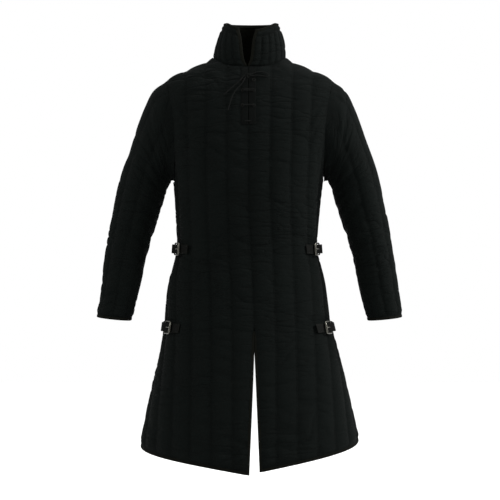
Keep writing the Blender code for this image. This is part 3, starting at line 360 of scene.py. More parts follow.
coat = {
    "channel": 0.052, "crest": 0.009, "stitch": 0.0035, "squareness": 2.3, "perChannel": 12,
    "chest": -0.29, "shoulderTip": -0.037, "neckHalf": 0.0925, "neckSide": 0.022,
    "neckLow": {front: -0.01, back: 0.014},    # height of the neckline at the centre
    "slitTop": -0.64, "slitOpens": -0.695, "slitSpread": {front: 0.042, back: 0.064},
    "slitTouch": -0.0003, "slitHeadDrop": 0.038,    # length over which the slit's edges part
    "neckSlitEnd": -0.154, "neckSlitHalf": 0.0006, "neckSlitLevel": -0.08, "placketWall": 0.006,
    "seam": 0.0003, "tuck": 0.0001, "fill": 0.22,
    "armholeFill": 0.45, "armholeReach": 0.02, "armholeX": 0.19,
    "binding": 0.005, "bindingProud": 0.001, "ventSetback": 0.007,
    "placketEdge": (0.0175, 0.027), "placketFade": 0.008,    # the slit's flat strips end there
    "ventTop": 8 / 9,    # share of the skirt's height where its sides reach the seam
    "neckColumn": 5 / 3,    # channels from the centre to the neck's side
    "hem": {left: (-0.942, 0.044, 1.65), right: (-0.927, 0.052, 1.45)},    # level, drop, curve
    "section": np.array([    # height, half width, centre, front depth, back depth
        (-1.0, 0.288, 0.002, 0.209, 0.203), (-0.947, 0.278, 0.002, 0.202, 0.196),
        (-0.88, 0.264, 0.0, 0.193, 0.187), (-0.79, 0.244, 0.0, 0.178, 0.173),
        (-0.7, 0.222, -0.001, 0.16, 0.158), (-0.64, 0.209, -0.004, 0.149, 0.149),
        (-0.595, 0.204, -0.006, 0.142, 0.142), (-0.535, 0.196, -0.007, 0.134, 0.13),
        (-0.475, 0.18, -0.006, 0.127, 0.116), (-0.435, 0.177, -0.006, 0.127, 0.111),
        (-0.37, 0.181, -0.005, 0.133, 0.115), (-0.29, 0.189, -0.003, 0.14, 0.126),
        (-0.23, 0.205, -0.002, 0.138, 0.132), (-0.16, 0.225, 0.0, 0.13, 0.134),
        (-0.1, 0.232, 0.0, 0.116, 0.127), (-0.06, 0.226, 0.0, 0.103, 0.116),
        (-0.037, 0.21, 0.0, 0.093, 0.106), (-0.022, 0.184, 0.0, 0.085, 0.098),
        (-0.007, 0.152, 0.0, 0.075, 0.089), (0.008, 0.116, 0.0, 0.064, 0.079),
        (0.022, 0.0925, 0.001, 0.05, 0.069), (0.04, 0.074, 0.001, 0.04, 0.06)]),
    "armhole": np.array([    # height, reach
        (-0.31, 0.1892), (-0.29, 0.189), (-0.23, 0.186), (-0.16, 0.187), (-0.1, 0.195), (-0.06, 0.203),
        (-0.037, 0.21), (-0.02, 0.215)]),
    "centreLine": np.array([    # height, distance across
        (-1.0, 0.012), (-0.64, 0.011), (-0.46, 0.004), (-0.3, -0.002), (-0.14, -0.001), (-0.01, -0.006),
        (0.12, -0.005)]),
}
valley = coat["crest"] - coat["stitch"]
columnStep = coat["channel"] / coat["perChannel"]
halfWidth, sectionCentre, sectionDepth = 1, 2, {front: 3, back: 4}


def unit(vectors):
    return vectors / np.linalg.norm(vectors, axis=-1, keepdims=True)


def runAlong(points):    # distance from the start at each point of a line
    return np.concatenate([[0.0], np.cumsum(np.linalg.norm(np.diff(points, axis=0), axis=1))])


def atRun(places, run, points):
    return np.stack([np.interp(places, run, points[:, axis]) for axis in range(3)], axis=-1)


def ringAngles(count):
    return np.arange(count) * 2 * math.pi / count


def smoothStep(value, low, high):
    t = np.clip((value - low) / (high - low), 0.0, 1.0)
    return t * t * (3 - 2 * t)


def smoothBlend(t, a, riseA, b, riseB):    # a cubic from a to b with a slope at each end
    return ((2 * t**3 - 3 * t**2 + 1) * a + (t**3 - 2 * t**2 + t) * riseA
            + (3 * t**2 - 2 * t**3) * b + (t**3 - t**2) * riseB)


def readCurve(table, height, column=1):
    keys, values = table[:, 0], table[:, column]
    height = np.asarray(height, float)
    k = np.clip(np.searchsorted(keys, height, side="left") - 1, 0, len(keys) - 2)
    below, above = np.maximum(k - 1, 0), np.minimum(k + 2, len(keys) - 1)
    low, high, a, b = keys[k], keys[k + 1], values[k], values[k + 1]
    span = high - low
    riseLow = (b - values[below]) / (high - keys[below]) * span
    riseHigh = (values[above] - a) / (keys[above] - low) * span
    return smoothBlend(np.clip((height - low) / span, 0.0, 1.0), a, riseLow, b, riseHigh)


def section(height, column):
    return readCurve(coat["section"], height, column)


def sectionRise(height, column):
    step = 0.001
    return (section(height + step, column) - section(height - step, column)) / (2 * step)


def centreLine(height):
    return readCurve(coat["centreLine"], height)


def bodyPoint(face, x, height, lift=0.0):    # points over (x, height), moved out by lift
    x, height = np.broadcast_arrays(np.asarray(x, float), np.asarray(height, float))
    power, deep = coat["squareness"], sectionDepth[face]
    half, depth = section(height, halfWidth), section(height, deep)
    offset = x - section(height, sectionCentre)
    u = np.minimum(np.abs(offset) / half, 1.0)
    v = (1.0 - u**power) ** (1.0 / power)
    rise = (u**power) * sectionRise(height, halfWidth) / half + (v**power) * sectionRise(height, deep) / depth
    across, ahead = np.copysign(u ** (power - 1) / half, offset), face * v ** (power - 1) / depth
    normal = unit(np.stack([across, ahead, -rise], axis=-1))
    point = np.stack([x, face * depth * v - face * coat["tuck"], height], axis=-1)
    return point + normal * np.asarray(lift)[..., None]


def quarterSection(face, height):    # arc from the centre and distance across, round a quarter
    power = 2.0 / coat["squareness"]
    angle = np.linspace(0.0, math.pi / 2, 61)
    x = section(height, halfWidth)[..., None] * np.sin(angle) ** power
    y = section(height, sectionDepth[face])[..., None] * np.abs(np.cos(angle)) ** power
    steps = np.hypot(np.diff(x, axis=-1), np.diff(y, axis=-1))
    return np.concatenate([np.zeros_like(x[..., :1]), np.cumsum(steps, axis=-1)], axis=-1), x


def acrossArc(face, height, arc):
    arcs, xs = quarterSection(face, height)
    size = np.abs(arc)[..., None]
    k = np.clip((arcs < size).sum(axis=-1, keepdims=True) - 1, 0, arcs.shape[-1] - 2)
    a, b = np.take_along_axis(arcs, k, -1), np.take_along_axis(arcs, k + 1, -1)
    xa, xb = np.take_along_axis(xs, k, -1), np.take_along_axis(xs, k + 1, -1)
    share = np.clip((size - a) / (b - a), 0.0, 1.0)
    return np.sign(arc) * (xa + (xb - xa) * share)[..., 0]


def arcX(face, arc, height):    # distance across at a signed arc from the centre line
    arc, height = np.broadcast_arrays(np.asarray(arc, float), np.asarray(height, float))
    centre = section(height, sectionCentre)
    return centre + acrossArc(face, height, centreLine(height) - centre + arc)


def halfGirth(face, side, height):    # arc from the centre line to the side seam
    height = np.asarray(height, float)
    start = centreLine(height) - section(height, sectionCentre)
    return quarterSection(face, height)[0][..., -1] - side * start


def hemHeight(face, side, arc):
    level, drop, curve = coat["hem"][side]
    share = np.minimum(np.abs(arc) / halfGirth(face, side, level), 1.0)
    return level - drop * (1.0 - share) ** curve


def slitHalf(face, height):    # half the gap between the riding slit's cloth edges
    closed = coat["slitTouch"] + coat["binding"]
    if height >= coat["slitOpens"]:
        return closed * min(max((coat["slitTop"] - height) / coat["slitHeadDrop"], 0.0), 1.0)
    return closed + coat["slitSpread"][face] * (coat["slitOpens"] - height)


shoulderLevels = np.linspace(coat["shoulderTip"], coat["neckSide"], 400)
shoulderHalves = section(shoulderLevels, halfWidth)


def topEdge(face, x):    # the neckline, then the shoulder seam
    low = coat["neckLow"][face]
    share = np.minimum(np.abs(x) / coat["neckHalf"], 1.0)
    neckline = low + (coat["neckSide"] - low) * share**3
    shoulder = np.interp(np.abs(x), shoulderHalves[::-1], shoulderLevels[::-1])
    return np.where(np.abs(x) <= coat["neckHalf"], neckline, shoulder)


def upperHeight(face, x, share):    # rows gather towards the shoulder seam
    return coat["chest"] + (topEdge(face, x) - coat["chest"]) * (1.0 - (1.0 - share) ** 2)


def upperX(face, arc, share):
    low = arcX(face, arc, coat["chest"])
    neckArc = coat["neckColumn"] * coat["channel"]
    middle = centreLine(coat["neckSlitLevel"])
    inside = middle + (np.copysign(coat["neckHalf"], arc) - middle) * np.abs(arc) / neckArc
    outside = arc + np.copysign(coat["neckHalf"] - neckArc, arc)
    high = np.where(np.abs(arc) <= neckArc, inside, outside)
    return low + (high - low) * share


def armholeX(face, side, share):
    x = side * coat["armholeX"]
    for _ in range(30):
        x = side * float(readCurve(coat["armhole"], upperHeight(face, x, share)))
    return x


quilt = {
    "lowerRows": 104, "middleRows": 104, "upperRows": 82,
    "sink": 0.75,    # how sharply the cloth drops into a stitch line
    "hemThin": 0.014,    # the padding ends this far above the hem
    "shoulderThin": 0.11,    # and this share below the shoulder seam
    "leastGap": 0.0022,    # least thickness left between the walls
    "puckerDepth": 0.002, "puckerReach": 0.01, "puckerPitch": 0.0115,
    "crossDepth": 0.0036, "crossPitch": 0.026,
    "broadDepth": 0.0016, "calmEdge": 0.03,
    "seed": {front: 11, back: 31}, "firstChannel": {front: 0, back: 40},
}
panelFolds = {    # x, height to x, height, half width, depth of each soft groove
    front: np.array([
        (0.188, -0.085, 0.136, -0.17, 0.0065, 0.0034), (0.184, -0.135, 0.14, -0.205, 0.006, 0.0026),
        (0.186, -0.19, 0.15, -0.235, 0.006, 0.0022), (-0.19, -0.08, -0.14, -0.16, 0.0065, 0.0032),
        (-0.186, -0.13, -0.15, -0.195, 0.006, 0.0024), (-0.184, -0.2, -0.15, -0.24, 0.0055, 0.0022),
        (0.172, -0.446, 0.082, -0.418, 0.007, 0.0026), (0.172, -0.474, 0.09, -0.506, 0.0075, 0.0026),
        (-0.172, -0.446, -0.09, -0.424, 0.007, 0.0024), (-0.172, -0.474, -0.084, -0.498, 0.0075, 0.0026),
        (0.196, -0.64, 0.118, -0.612, 0.008, 0.0024), (-0.2, -0.638, -0.12, -0.596, 0.008, 0.0026),
        (-0.11, -0.572, -0.02, -0.566, 0.007, 0.002), (-0.1, -0.648, -0.012, -0.654, 0.008, 0.0024),
        (0.032, -0.652, 0.11, -0.64, 0.0075, 0.0018), (-0.16, -0.868, -0.056, -0.876, 0.008, 0.0024),
        (-0.05, -0.902, -0.002, -0.918, 0.007, 0.0026), (0.03, -0.916, 0.128, -0.93, 0.0075, 0.0024),
        (0.07, -0.832, 0.15, -0.824, 0.007, 0.0018), (-0.07, -0.764, -0.004, -0.772, 0.007, 0.0018),
        (0.04, -0.026, 0.15, -0.046, 0.0075, 0.002), (-0.046, -0.024, -0.15, -0.05, 0.0075, 0.002)]),
    back: np.array([
        (0.186, -0.09, 0.12, -0.19, 0.0075, 0.0032), (-0.186, -0.095, -0.124, -0.185, 0.0075, 0.0032),
        (0.184, -0.16, 0.13, -0.235, 0.007, 0.0026), (-0.184, -0.165, -0.128, -0.24, 0.007, 0.0026),
        (0.172, -0.44, 0.06, -0.42, 0.008, 0.003), (-0.172, -0.442, -0.05, -0.426, 0.008, 0.0028),
        (0.17, -0.478, 0.07, -0.5, 0.008, 0.0028), (-0.17, -0.476, -0.08, -0.508, 0.008, 0.0028),
        (0.12, -0.56, -0.03, -0.572, 0.008, 0.0022), (-0.12, -0.64, 0.01, -0.632, 0.008, 0.0024),
        (0.19, -0.64, 0.11, -0.61, 0.008, 0.0024), (0.06, -0.85, 0.17, -0.862, 0.008, 0.0022),
        (-0.16, -0.88, -0.04, -0.894, 0.008, 0.0024)]),
}


def softNoise(u, v, seed):    # smooth noise from -1 to 1, the same each time
    size = 64
    lattice = np.random.default_rng(seed).random((size, size)) * 2 - 1
    u, v = np.broadcast_arrays(u, v)
    iu, iv = np.floor(u).astype(int), np.floor(v).astype(int)
    fu, fv = smoothStep(u - iu, 0.0, 1.0), smoothStep(v - iv, 0.0, 1.0)
    iu, iv, ju, jv = iu % size, iv % size, (iu + 1) % size, (iv + 1) % size
    low = lattice[iu, iv] * (1 - fu) + lattice[ju, iv] * fu
    high = lattice[iu, jv] * (1 - fu) + lattice[ju, jv] * fu
    return low * (1 - fv) + high * fv


def puffShare(distance, half):    # 0 at a stitch line, 1 on the crest
    return np.sin(math.pi / 2 * np.minimum(distance / half, 1.0) ** quilt["sink"])


# grooves that cross a channel, and the short puckers that its stitches pull
def channelWrinkles(along, across, puff, distance, channelNumber, seed, depth=1.0):
    drift = softNoise(along / 0.09, across / 0.06 + channelNumber * 3.1, seed)
    tilt = softNoise(along / 0.07, channelNumber * 7.7, seed + 1)
    place = (along + tilt * across * 0.55) / quilt["crossPitch"] + drift * 0.9 + channelNumber * 11.3
    ridge = 1.0 - np.abs(softNoise(place, channelNumber * 5.3, seed + 2))
    region = smoothStep(softNoise(along / 0.11, across / 0.13, seed + 3), -0.45, 0.55)
    cross = ridge**5 * puff * (0.25 + 0.75 * region) * quilt["crossDepth"]
    near = np.exp(-distance / quilt["puckerReach"]) * smoothStep(distance, 0.0, 0.003)
    pucker = softNoise(along / quilt["puckerPitch"], channelNumber * 9.1 + across / 0.05, seed + 4)
    return (cross + np.maximum(pucker, 0) * near * quilt["puckerDepth"]) * depth


def foldDepth(x, height, folds):
    total = np.zeros(np.shape(x))
    for xa, za, xb, zb, half, depth in folds:
        dx, dz = xb - xa, zb - za
        share = np.clip(((x - xa) * dx + (height - za) * dz) / (dx * dx + dz * dz), 0.0, 1.0)
        away = np.hypot(x - xa - dx * share, height - za - dz * share)
        total = total + depth * np.exp(-(away / half) ** 2) * np.sqrt(np.sin(np.pi * (0.12 + 0.76 * share)))
    return total


# a piece that rides the coat; with a form word it stands in for the part's shape of that name
def addPiece(name, form, points, faces, material, attributes=None, creaseAngle=62):
    mesh = bpy.data.meshes.new(name + form)
    mesh.from_pydata([tuple(point) for point in points], [], faces)
    for label, values in (attributes or {}).items():
        values = np.asarray(values, np.float32)
        kind, field = ("FLOAT_VECTOR", "vector") if values.ndim == 2 else ("FLOAT", "value")
        mesh.attributes.new(label, kind, "POINT").data.foreach_set(field, values.ravel())
    mesh.materials.append(material)
    mesh.shade_smooth()
    mesh.set_sharp_from_angle(angle=math.radians(creaseAngle))
    piece = bpy.data.objects.new(name + form, mesh)
    scene.collection.objects.link(piece)
    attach(piece, "root")
    if form:
        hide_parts(name)
    faceOutward(piece)
    return piece


def faceOutward(piece):
    shape = bmesh.new()
    shape.from_mesh(piece.data)
    bmesh.ops.recalc_face_normals(shape, faces=shape.faces)
    shape.to_mesh(piece.data)
    shape.free()


def zipRows(faces, low, high):    # fill between two rows of (key, index), quads where keys match
    i = j = 0
    while i < len(low) - 1 or j < len(high) - 1:
        moreLow, moreHigh = i < len(low) - 1, j < len(high) - 1
        if moreLow and moreHigh and low[i + 1][0] == high[j + 1][0]:
            corners = (low[i][1], low[i + 1][1], high[j + 1][1], high[j][1])
            i, j = i + 1, j + 1
        elif moreLow and (not moreHigh or low[i + 1][0] < high[j + 1][0]):
            corners = (low[i][1], low[i + 1][1], high[j][1])
            i += 1
        else:
            corners = (low[i][1], high[j + 1][1], high[j][1])
            j += 1
        corners = tuple(dict.fromkeys(corners))
        if len(corners) > 2:
            faces.append(corners)


# a padded wall, skinned between its rows, with what the cloth material needs at each point
class Shell:

    def __init__(self):
        self.points, self.faces, self.isInner = [], [], []
        self.cloth = {"clothPlace": [], "stitchLine": [], "crestShare": []}

    def addRow(self, keys, points, place, stitch, puff, inner):
        first = len(self.points)
        self.points.extend(np.asarray(points).tolist())
        # the crest share also sets the painted valley shade; inner walls take a fixed middle value
        crest = np.full(len(keys), 0.4) if inner else np.asarray(puff)
        for label, values in (("clothPlace", place), ("stitchLine", stitch), ("crestShare", crest)):
            self.cloth[label].extend(np.asarray(values).tolist())
        self.isInner.extend([inner] * len(keys))
        return [(key, first + k) for k, key in enumerate(keys)]

    def skin(self, outer, inner, endsOf):    # endsOf(k): where the walls meet between rows k and k + 1
        for grid in (outer, inner):
            for low, high in zip(grid, grid[1:]):
                zipRows(self.faces, low, high)
        for k in range(len(outer) - 1):
            for end in endsOf(k):
                ring = outer[k][end], outer[k + 1][end], inner[k + 1][end], inner[k][end]
                self.faces.append(tuple(index for _, index in ring))
        zipRows(self.faces, outer[0], inner[0])
        zipRows(self.faces, outer[-1], inner[-1])

    def makePiece(self, name):
        used = sorted({index for face in self.faces for index in face})
        renumber = {old: new for new, old in enumerate(used)}
        faces = [tuple(renumber[index] for index in face) for face in self.faces]
        cloth = {label: [values[k] for k in used] for label, values in self.cloth.items()}
        points = [self.points[k] for k in used]
        piece = addPiece(name, "_cloth", points, faces, quiltedCotton, cloth)
        # inner walls take plainInside, which is darkened partly as painted shade
        piece.data.materials.append(plainInside)
        plain = [int(all(self.isInner[index] for index in face)) for face in self.faces]
        piece.data.polygons.foreach_set("material_index", plain)
        return piece


lastColumn = 9999    # key of the point on a row's outer edge


def panelRows():
    rows = [("lower", k / quilt["lowerRows"]) for k in range(quilt["lowerRows"])]
    rows += [("middle", k / quilt["middleRows"]) for k in range(quilt["middleRows"])]
    even = np.linspace(0.0, 1.0, quilt["upperRows"] + 1)
    return rows + [("upper", share) for share in 0.5 * even + 0.5 * (1.0 - np.sqrt(1.0 - even))]


def rowHeight(kind, share, face, side, arc):
    hem, centreHem = hemHeight(face, side, arc), hemHeight(face, side, 0.0)
    slit = (coat["slitTop"] - centreHem) / (coat["chest"] - centreHem)
    part = share * slit if kind == "lower" else slit + share * (1.0 - slit)
    return hem + (coat["chest"] - hem) * part


def ventSetback(kind, share):    # the skirt's side edges stand back below the vent's top
    if kind != "lower":
        return 0.0
    return coat["ventSetback"] * min(max((coat["ventTop"] - share) / (1 - coat["ventTop"]), 0.0), 1.0)


def lowerHalfRow(face, side, kind, share):
    limit = float(halfGirth(face, side, rowHeight(kind, share, face, side, 1.0))) - ventSetback(kind, share)
    start = slitHalf(face, float(rowHeight(kind, share, face, side, 0.0))) if kind == "lower" else 0.0
    keys = [k for k in range(1, 200) if start + 0.001 < k * columnStep < limit - 0.0015]
    arc = np.array([start, *(k * columnStep for k in keys), limit])
    height = rowHeight(kind, share, face, side, arc)
    line = np.round(arc / coat["channel"]) * coat["channel"]
    return {"keys": [0, *keys, lastColumn], "arc": arc, "height": height, "x": arcX(face, side * arc, height),
            "stitch": np.abs(arc - np.where(line == 0, start, line)), "edge": limit - arc,
            "thin": smoothStep(height - hemHeight(face, side, arc), 0.0, quilt["hemThin"])}


def upperHalfRow(face, side, share):
    edgeX = armholeX(face, side, share)
    arc = np.arange(0, 110) * columnStep
    x = upperX(face, side * arc, share)
    reached = np.append(np.diff(side * x) < 0.0004, True)    # the form's side ends there
    count = int(np.argmax((side * (edgeX - x) < 0.0018) | reached))
    arc, x = arc[:count], x[:count]
    if inNeckSlit(face, "upper", share):
        x[0] += side * coat["neckSlitHalf"]
    arc = np.append(arc, arc[-1] + abs(edgeX - x[-1]))
    x = np.append(x, edgeX)
    line = np.round(arc / coat["channel"]) * coat["channel"]
    return {"keys": [*range(count), lastColumn], "arc": arc, "height": upperHeight(face, x, share), "x": x,
            "stitch": np.abs(arc - line), "edge": side * (edgeX - x),
            "thin": np.full(len(x), smoothStep(1.0 - share, 0.0, quilt["shoulderThin"]))}


def inNeckSlit(face, kind, share):
    return face == front and kind == "upper" and upperHeight(front, 0.0, share) > coat["neckSlitEnd"]


def placketShare(face, kind, row):    # 1 where the flat facings of the neck slit lie
    if face != front or kind != "upper":
        return np.zeros(len(row["arc"]))
    level = coat["neckSlitEnd"] - coat["placketFade"]
    above = smoothStep(row["height"], level - coat["placketFade"], level)
    return (1.0 - smoothStep(row["arc"], *coat["placketEdge"])) * above


def outerLift(row, face, side, kind, puff):    # how far the outer wall stands from the smooth form
    thin, x, height = row["thin"], row["x"], row["height"]
    number = np.floor(row["arc"] / coat["channel"]) * side + quilt["firstChannel"][face]
    seed = quilt["seed"][face]
    wrinkle = channelWrinkles(height, side * row["arc"], puff, row["distance"], number, seed)
    broad = quilt["broadDepth"] * (0.5 + 0.5 * softNoise(x / 0.11, height / 0.16, seed + 9))
    folds = foldDepth(x, height, panelFolds[face]) * (0.35 + 0.65 * puff)
    calm = smoothStep(row["edge"], 0.0, quilt["calmEdge"])
    lift = -valley * (1.0 - puff) - wrinkle * thin - (folds + broad) * calm * thin
    flat = placketShare(face, kind, row)
    lift = lift * (1 - flat) - (coat["crest"] - coat["placketWall"]) * flat
    return np.maximum(lift, quilt["leastGap"] - coat["crest"])


def makePanel(name, face):
    shell, rows, shared, halves = Shell(), panelRows(), {}, []
    split = [kind == "lower" or inNeckSlit(face, kind, share) for kind, share in rows]
    for side in (left, right):
        grids = [], []
        for number, (kind, share) in enumerate(rows):
            upper = kind == "upper"
            row = upperHalfRow(face, side, share) if upper else lowerHalfRow(face, side, kind, share)
            row["distance"] = np.minimum(row["stitch"], row["edge"])
            puff = puffShare(row["distance"], coat["channel"] / 2)
            puff = (coat["fill"] + (1 - coat["fill"]) * puff) * row["thin"]
            if upper:    # the padding runs on under the armhole's seam
                nearEdge = 1 - smoothStep(row["edge"], 0.0, coat["armholeReach"])
                puff = np.maximum(puff, coat["armholeFill"] * nearEdge * smoothStep(share, 0.0, 0.15))
            place = np.stack([side * row["arc"], row["height"], np.full(len(puff), 0.3 * face)], axis=-1)
            lifts = outerLift(row, face, side, kind, puff), -coat["crest"]
            for wall, lift in enumerate(lifts):
                points = bodyPoint(face, row["x"], row["height"], lift)
                if upper and share == 1.0:    # both panels' shoulder edges lie in one plane
                    points[np.abs(row["x"]) >= coat["neckHalf"] - 0.0001, 1] = -face * coat["tuck"] * 2
                made = shell.addRow(row["keys"], points, place, row["stitch"], puff, wall == 1)
                if not split[number]:
                    made[0] = (0, shared.setdefault((number, wall), made[0][1]))
                grids[wall].append(made)
        halves.append(grids)
    for grids in halves:
        shell.skin(*grids, lambda k: [-1, 0] if split[k] or split[k + 1] else [-1])
    return shell.makePiece(name)


frontPanel = makePanel("front_panel", front)
backPanel = makePanel("back_panel", back)
print("panels made:", *(len(panel.data.vertices) for panel in (frontPanel, backPanel)), "points")

sleeve = {
    "channels": 8, "perChannel": 15, "rows": 176, "cuff": 12.0, "headBlend": 12 / 18,
    "seat": -0.0006, "fill": 0.4, "headThin": 0.016, "cuffThin": 0.014, "leastGap": 0.0016,
    "broadDepth": 0.0022, "gatherDepth": 0.0022, "gatherReach": 0.05,
    "seed": {left: 51, right: 71}, "firstChannel": 80, "wrinkleShare": 1.15,
    "ring": np.array([    # outer x, height, inner x, height, depth, centre y of each station
        (0.21, -0.037, 0.189, -0.29, 0.083, 0.002), (0.242, -0.062, 0.195, -0.291, 0.082, 0.002),
        (0.263, -0.104, 0.197, -0.296, 0.079, 0.002), (0.281, -0.15, 0.201, -0.302, 0.076, 0.002),
        (0.301, -0.207, 0.205, -0.311, 0.073, 0.001), (0.32, -0.262, 0.208, -0.325, 0.07, 0.0),
        (0.334, -0.317, 0.214, -0.348, 0.068, -0.001), (0.345, -0.375, 0.231, -0.404, 0.065, -0.004),
        (0.356, -0.435, 0.249, -0.462, 0.062, -0.01), (0.365, -0.495, 0.262, -0.52, 0.058, -0.018),
        (0.372, -0.555, 0.274, -0.577, 0.053, -0.027), (0.379, -0.605, 0.284, -0.618, 0.049, -0.035),
        (0.381, -0.62, 0.286, -0.63, 0.048, -0.038)]),
    # station, angle, half length in stations, half angle, depth of the grooves where the elbow bends;
    # angle 0 is the outside of the arm, a quarter turn is the front
    "folds": [
        (6.55, 2.35, 0.115, 0.95, 0.0058), (7.15, 2.65, 0.105, 1.05, 0.0062),
        (7.75, 2.3, 0.105, 0.85, 0.0054), (8.45, 2.6, 0.11, 0.9, 0.0046),
        (6.05, 2.75, 0.11, 0.8, 0.0044), (5.35, 2.55, 0.13, 0.7, 0.0036),
        (9.3, 1.9, 0.12, 0.8, 0.003), (10.1, 1.3, 0.11, 0.7, 0.0024),
        (4.4, 1.9, 0.15, 0.7, 0.0036), (3.5, 2.3, 0.16, 0.6, 0.0038),
        (7.3, 4.1, 0.12, 0.8, 0.0044), (8.1, 3.9, 0.12, 0.8, 0.0038),
        (6.3, 4.2, 0.12, 0.7, 0.0036), (4.7, 4.3, 0.15, 0.6, 0.003),
        (1.6, 0.95, 0.17, 0.5, 0.003), (2.4, 1.45, 0.16, 0.5, 0.0028),
        (1.8, 5.3, 0.17, 0.5, 0.0028), (11.0, 2.4, 0.1, 0.8, 0.0024)],
}
sleeveCount = sleeve["channels"] * sleeve["perChannel"]
sleeveRing = np.column_stack([range(len(sleeve["ring"])), sleeve["ring"]])


def sleeveFrame(side, along):    # centre, half of the long axis, and depth of the arm's ring
    outerX, outerZ, innerX, innerZ, depth, y = (readCurve(sleeveRing, along, k) for k in range(1, 7))
    zero = np.zeros(np.shape(along))
    outer = np.stack([side * outerX, zero, outerZ], axis=-1)
    inner = np.stack([side * innerX, zero, innerZ], axis=-1)
    return (outer + inner) / 2 + np.stack([zero, y, zero], axis=-1), (outer - inner) / 2, depth


def sleevePoint(side, along, angle, lift=0.0):
    along, angle = np.broadcast_arrays(np.asarray(along, float), np.asarray(angle, float))
    centre, halfAxis, depth = sleeveFrame(side, along)
    length = np.linalg.norm(halfAxis, axis=-1)
    cosine, forward = np.cos(angle)[..., None], np.array([0.0, -1.0, 0.0])
    outward = unit(unit(halfAxis) * cosine * depth[..., None] + forward * (np.sin(angle) * length)[..., None])
    point = centre + halfAxis * cosine + forward * (depth * np.sin(angle))[..., None]
    return point + outward * np.asarray(lift)[..., None]


def armholeRing(side, angle, inward=0.0):    # the sleeve's head, along the armhole's edge
    middle = (coat["shoulderTip"] + coat["chest"]) / 2
    height = middle + (coat["shoulderTip"] - coat["chest"]) / 2 * np.cos(angle)
    x = side * readCurve(coat["armhole"], height)
    lift = -valley * (1 - coat["armholeFill"] * smoothStep(height, coat["chest"], coat["chest"] + 0.06))
    points = np.where((np.sin(angle) > 0)[..., None], bodyPoint(front, x, height, lift),
                      bodyPoint(back, x, height, lift))
    points[:, 0] = side * (np.maximum(np.abs(points[:, 0]), np.abs(x) - 0.002) + sleeve["seat"])
    toMiddle = unit(np.stack([np.zeros(len(angle)), -points[:, 1], middle - points[:, 2]], axis=-1))
    return points + toMiddle * inward


def sleeveCloth(side, along, angle, lift, inward):    # the sleeve's form with its head on the armhole
    point = sleevePoint(side, along, angle, lift)
    if along < sleeve["headBlend"]:
        reach = (1.0 - along / sleeve["headBlend"]) ** 1.6
        base = sleevePoint(side, 0.0, angle, -inward - (valley if inward == 0 else 0))
        point = point + (armholeRing(side, angle, inward) - base) * reach
    return point


def elbowFolds(along, angle, side):
    total = np.zeros(np.shape(angle))
    for station, middle, halfLength, halfAngle, depth in sleeve["folds"]:
        turn = (angle - middle + math.pi) % (2 * math.pi) - math.pi
        sway = 0.35 * turn * (1 if middle < math.pi else -1) + 0.1 * side * np.sin(3 * angle + station)
        away = (along - station - sway) / (halfLength * 1.7)
        total = total + depth * np.exp(-away**2) * np.exp(-(turn / halfAngle) ** 2 * 1.4)
    return total


def makeSleeve(side):
    shell, grids = Shell(), ([], [])
    angle = ringAngles(sleeveCount)
    channel = np.arange(sleeveCount) / sleeve["perChannel"]
    seed, channelNumber = sleeve["seed"][side], np.floor(channel) + sleeve["firstChannel"]
    runs = runAlong(sleeveFrame(side, np.linspace(0, sleeve["cuff"], sleeve["rows"] + 1))[0])
    for number, run in enumerate(runs):
        along = sleeve["cuff"] * number / sleeve["rows"]
        _, halfAxis, depth = sleeveFrame(side, np.float64(along))
        width = math.pi * (np.linalg.norm(halfAxis) + float(depth)) / sleeve["channels"]
        stitch = np.abs(channel - np.round(channel)) * width
        thin = smoothStep(run, 0.0, sleeve["headThin"]) * smoothStep(runs[-1] - run, 0.0, sleeve["cuffThin"])
        puff = (sleeve["fill"] + (1 - sleeve["fill"]) * puffShare(stitch, width / 2)) * thin
        runHere = np.full(sleeveCount, run)
        wrinkle = channelWrinkles(runHere, angle * 0.055, puff, stitch, channelNumber, seed,
                                  sleeve["wrinkleShare"])
        gather = np.maximum(softNoise(channel * 3.1, along * 0.4, seed + 6), 0) * sleeve["gatherDepth"]
        broad = sleeve["broadDepth"] * (0.5 + 0.5 * softNoise(channel * 0.9, along * 0.9, seed + 7))
        groove = elbowFolds(along, angle, side) + broad + gather * np.exp(-run / sleeve["gatherReach"])
        lift = -valley * (1 - puff) - (wrinkle + groove) * thin
        lift = np.maximum(lift, sleeve["leastGap"] - coat["crest"])
        across = np.minimum(channel, sleeve["channels"] - channel) * width
        place = np.stack([across, runHere, 0.6 * side + 0.12 * np.sin(angle)], axis=-1)
        inner = np.minimum(-coat["crest"], lift - 0.0015)
        for wall, (value, inward) in enumerate(((lift, 0.0), (inner, coat["stitch"]))):
            points = sleeveCloth(side, along, angle, value, inward)
            row = shell.addRow(range(sleeveCount), points, place, stitch, puff, wall == 1)
            grids[wall].append(row + [(sleeveCount, row[0][1])])
    shell.skin(*grids, lambda k: [])
    return shell.makePiece("sleeve_" + sideWord[side])


sleeves = {side: makeSleeve(side) for side in (left, right)}
print("sleeves made")

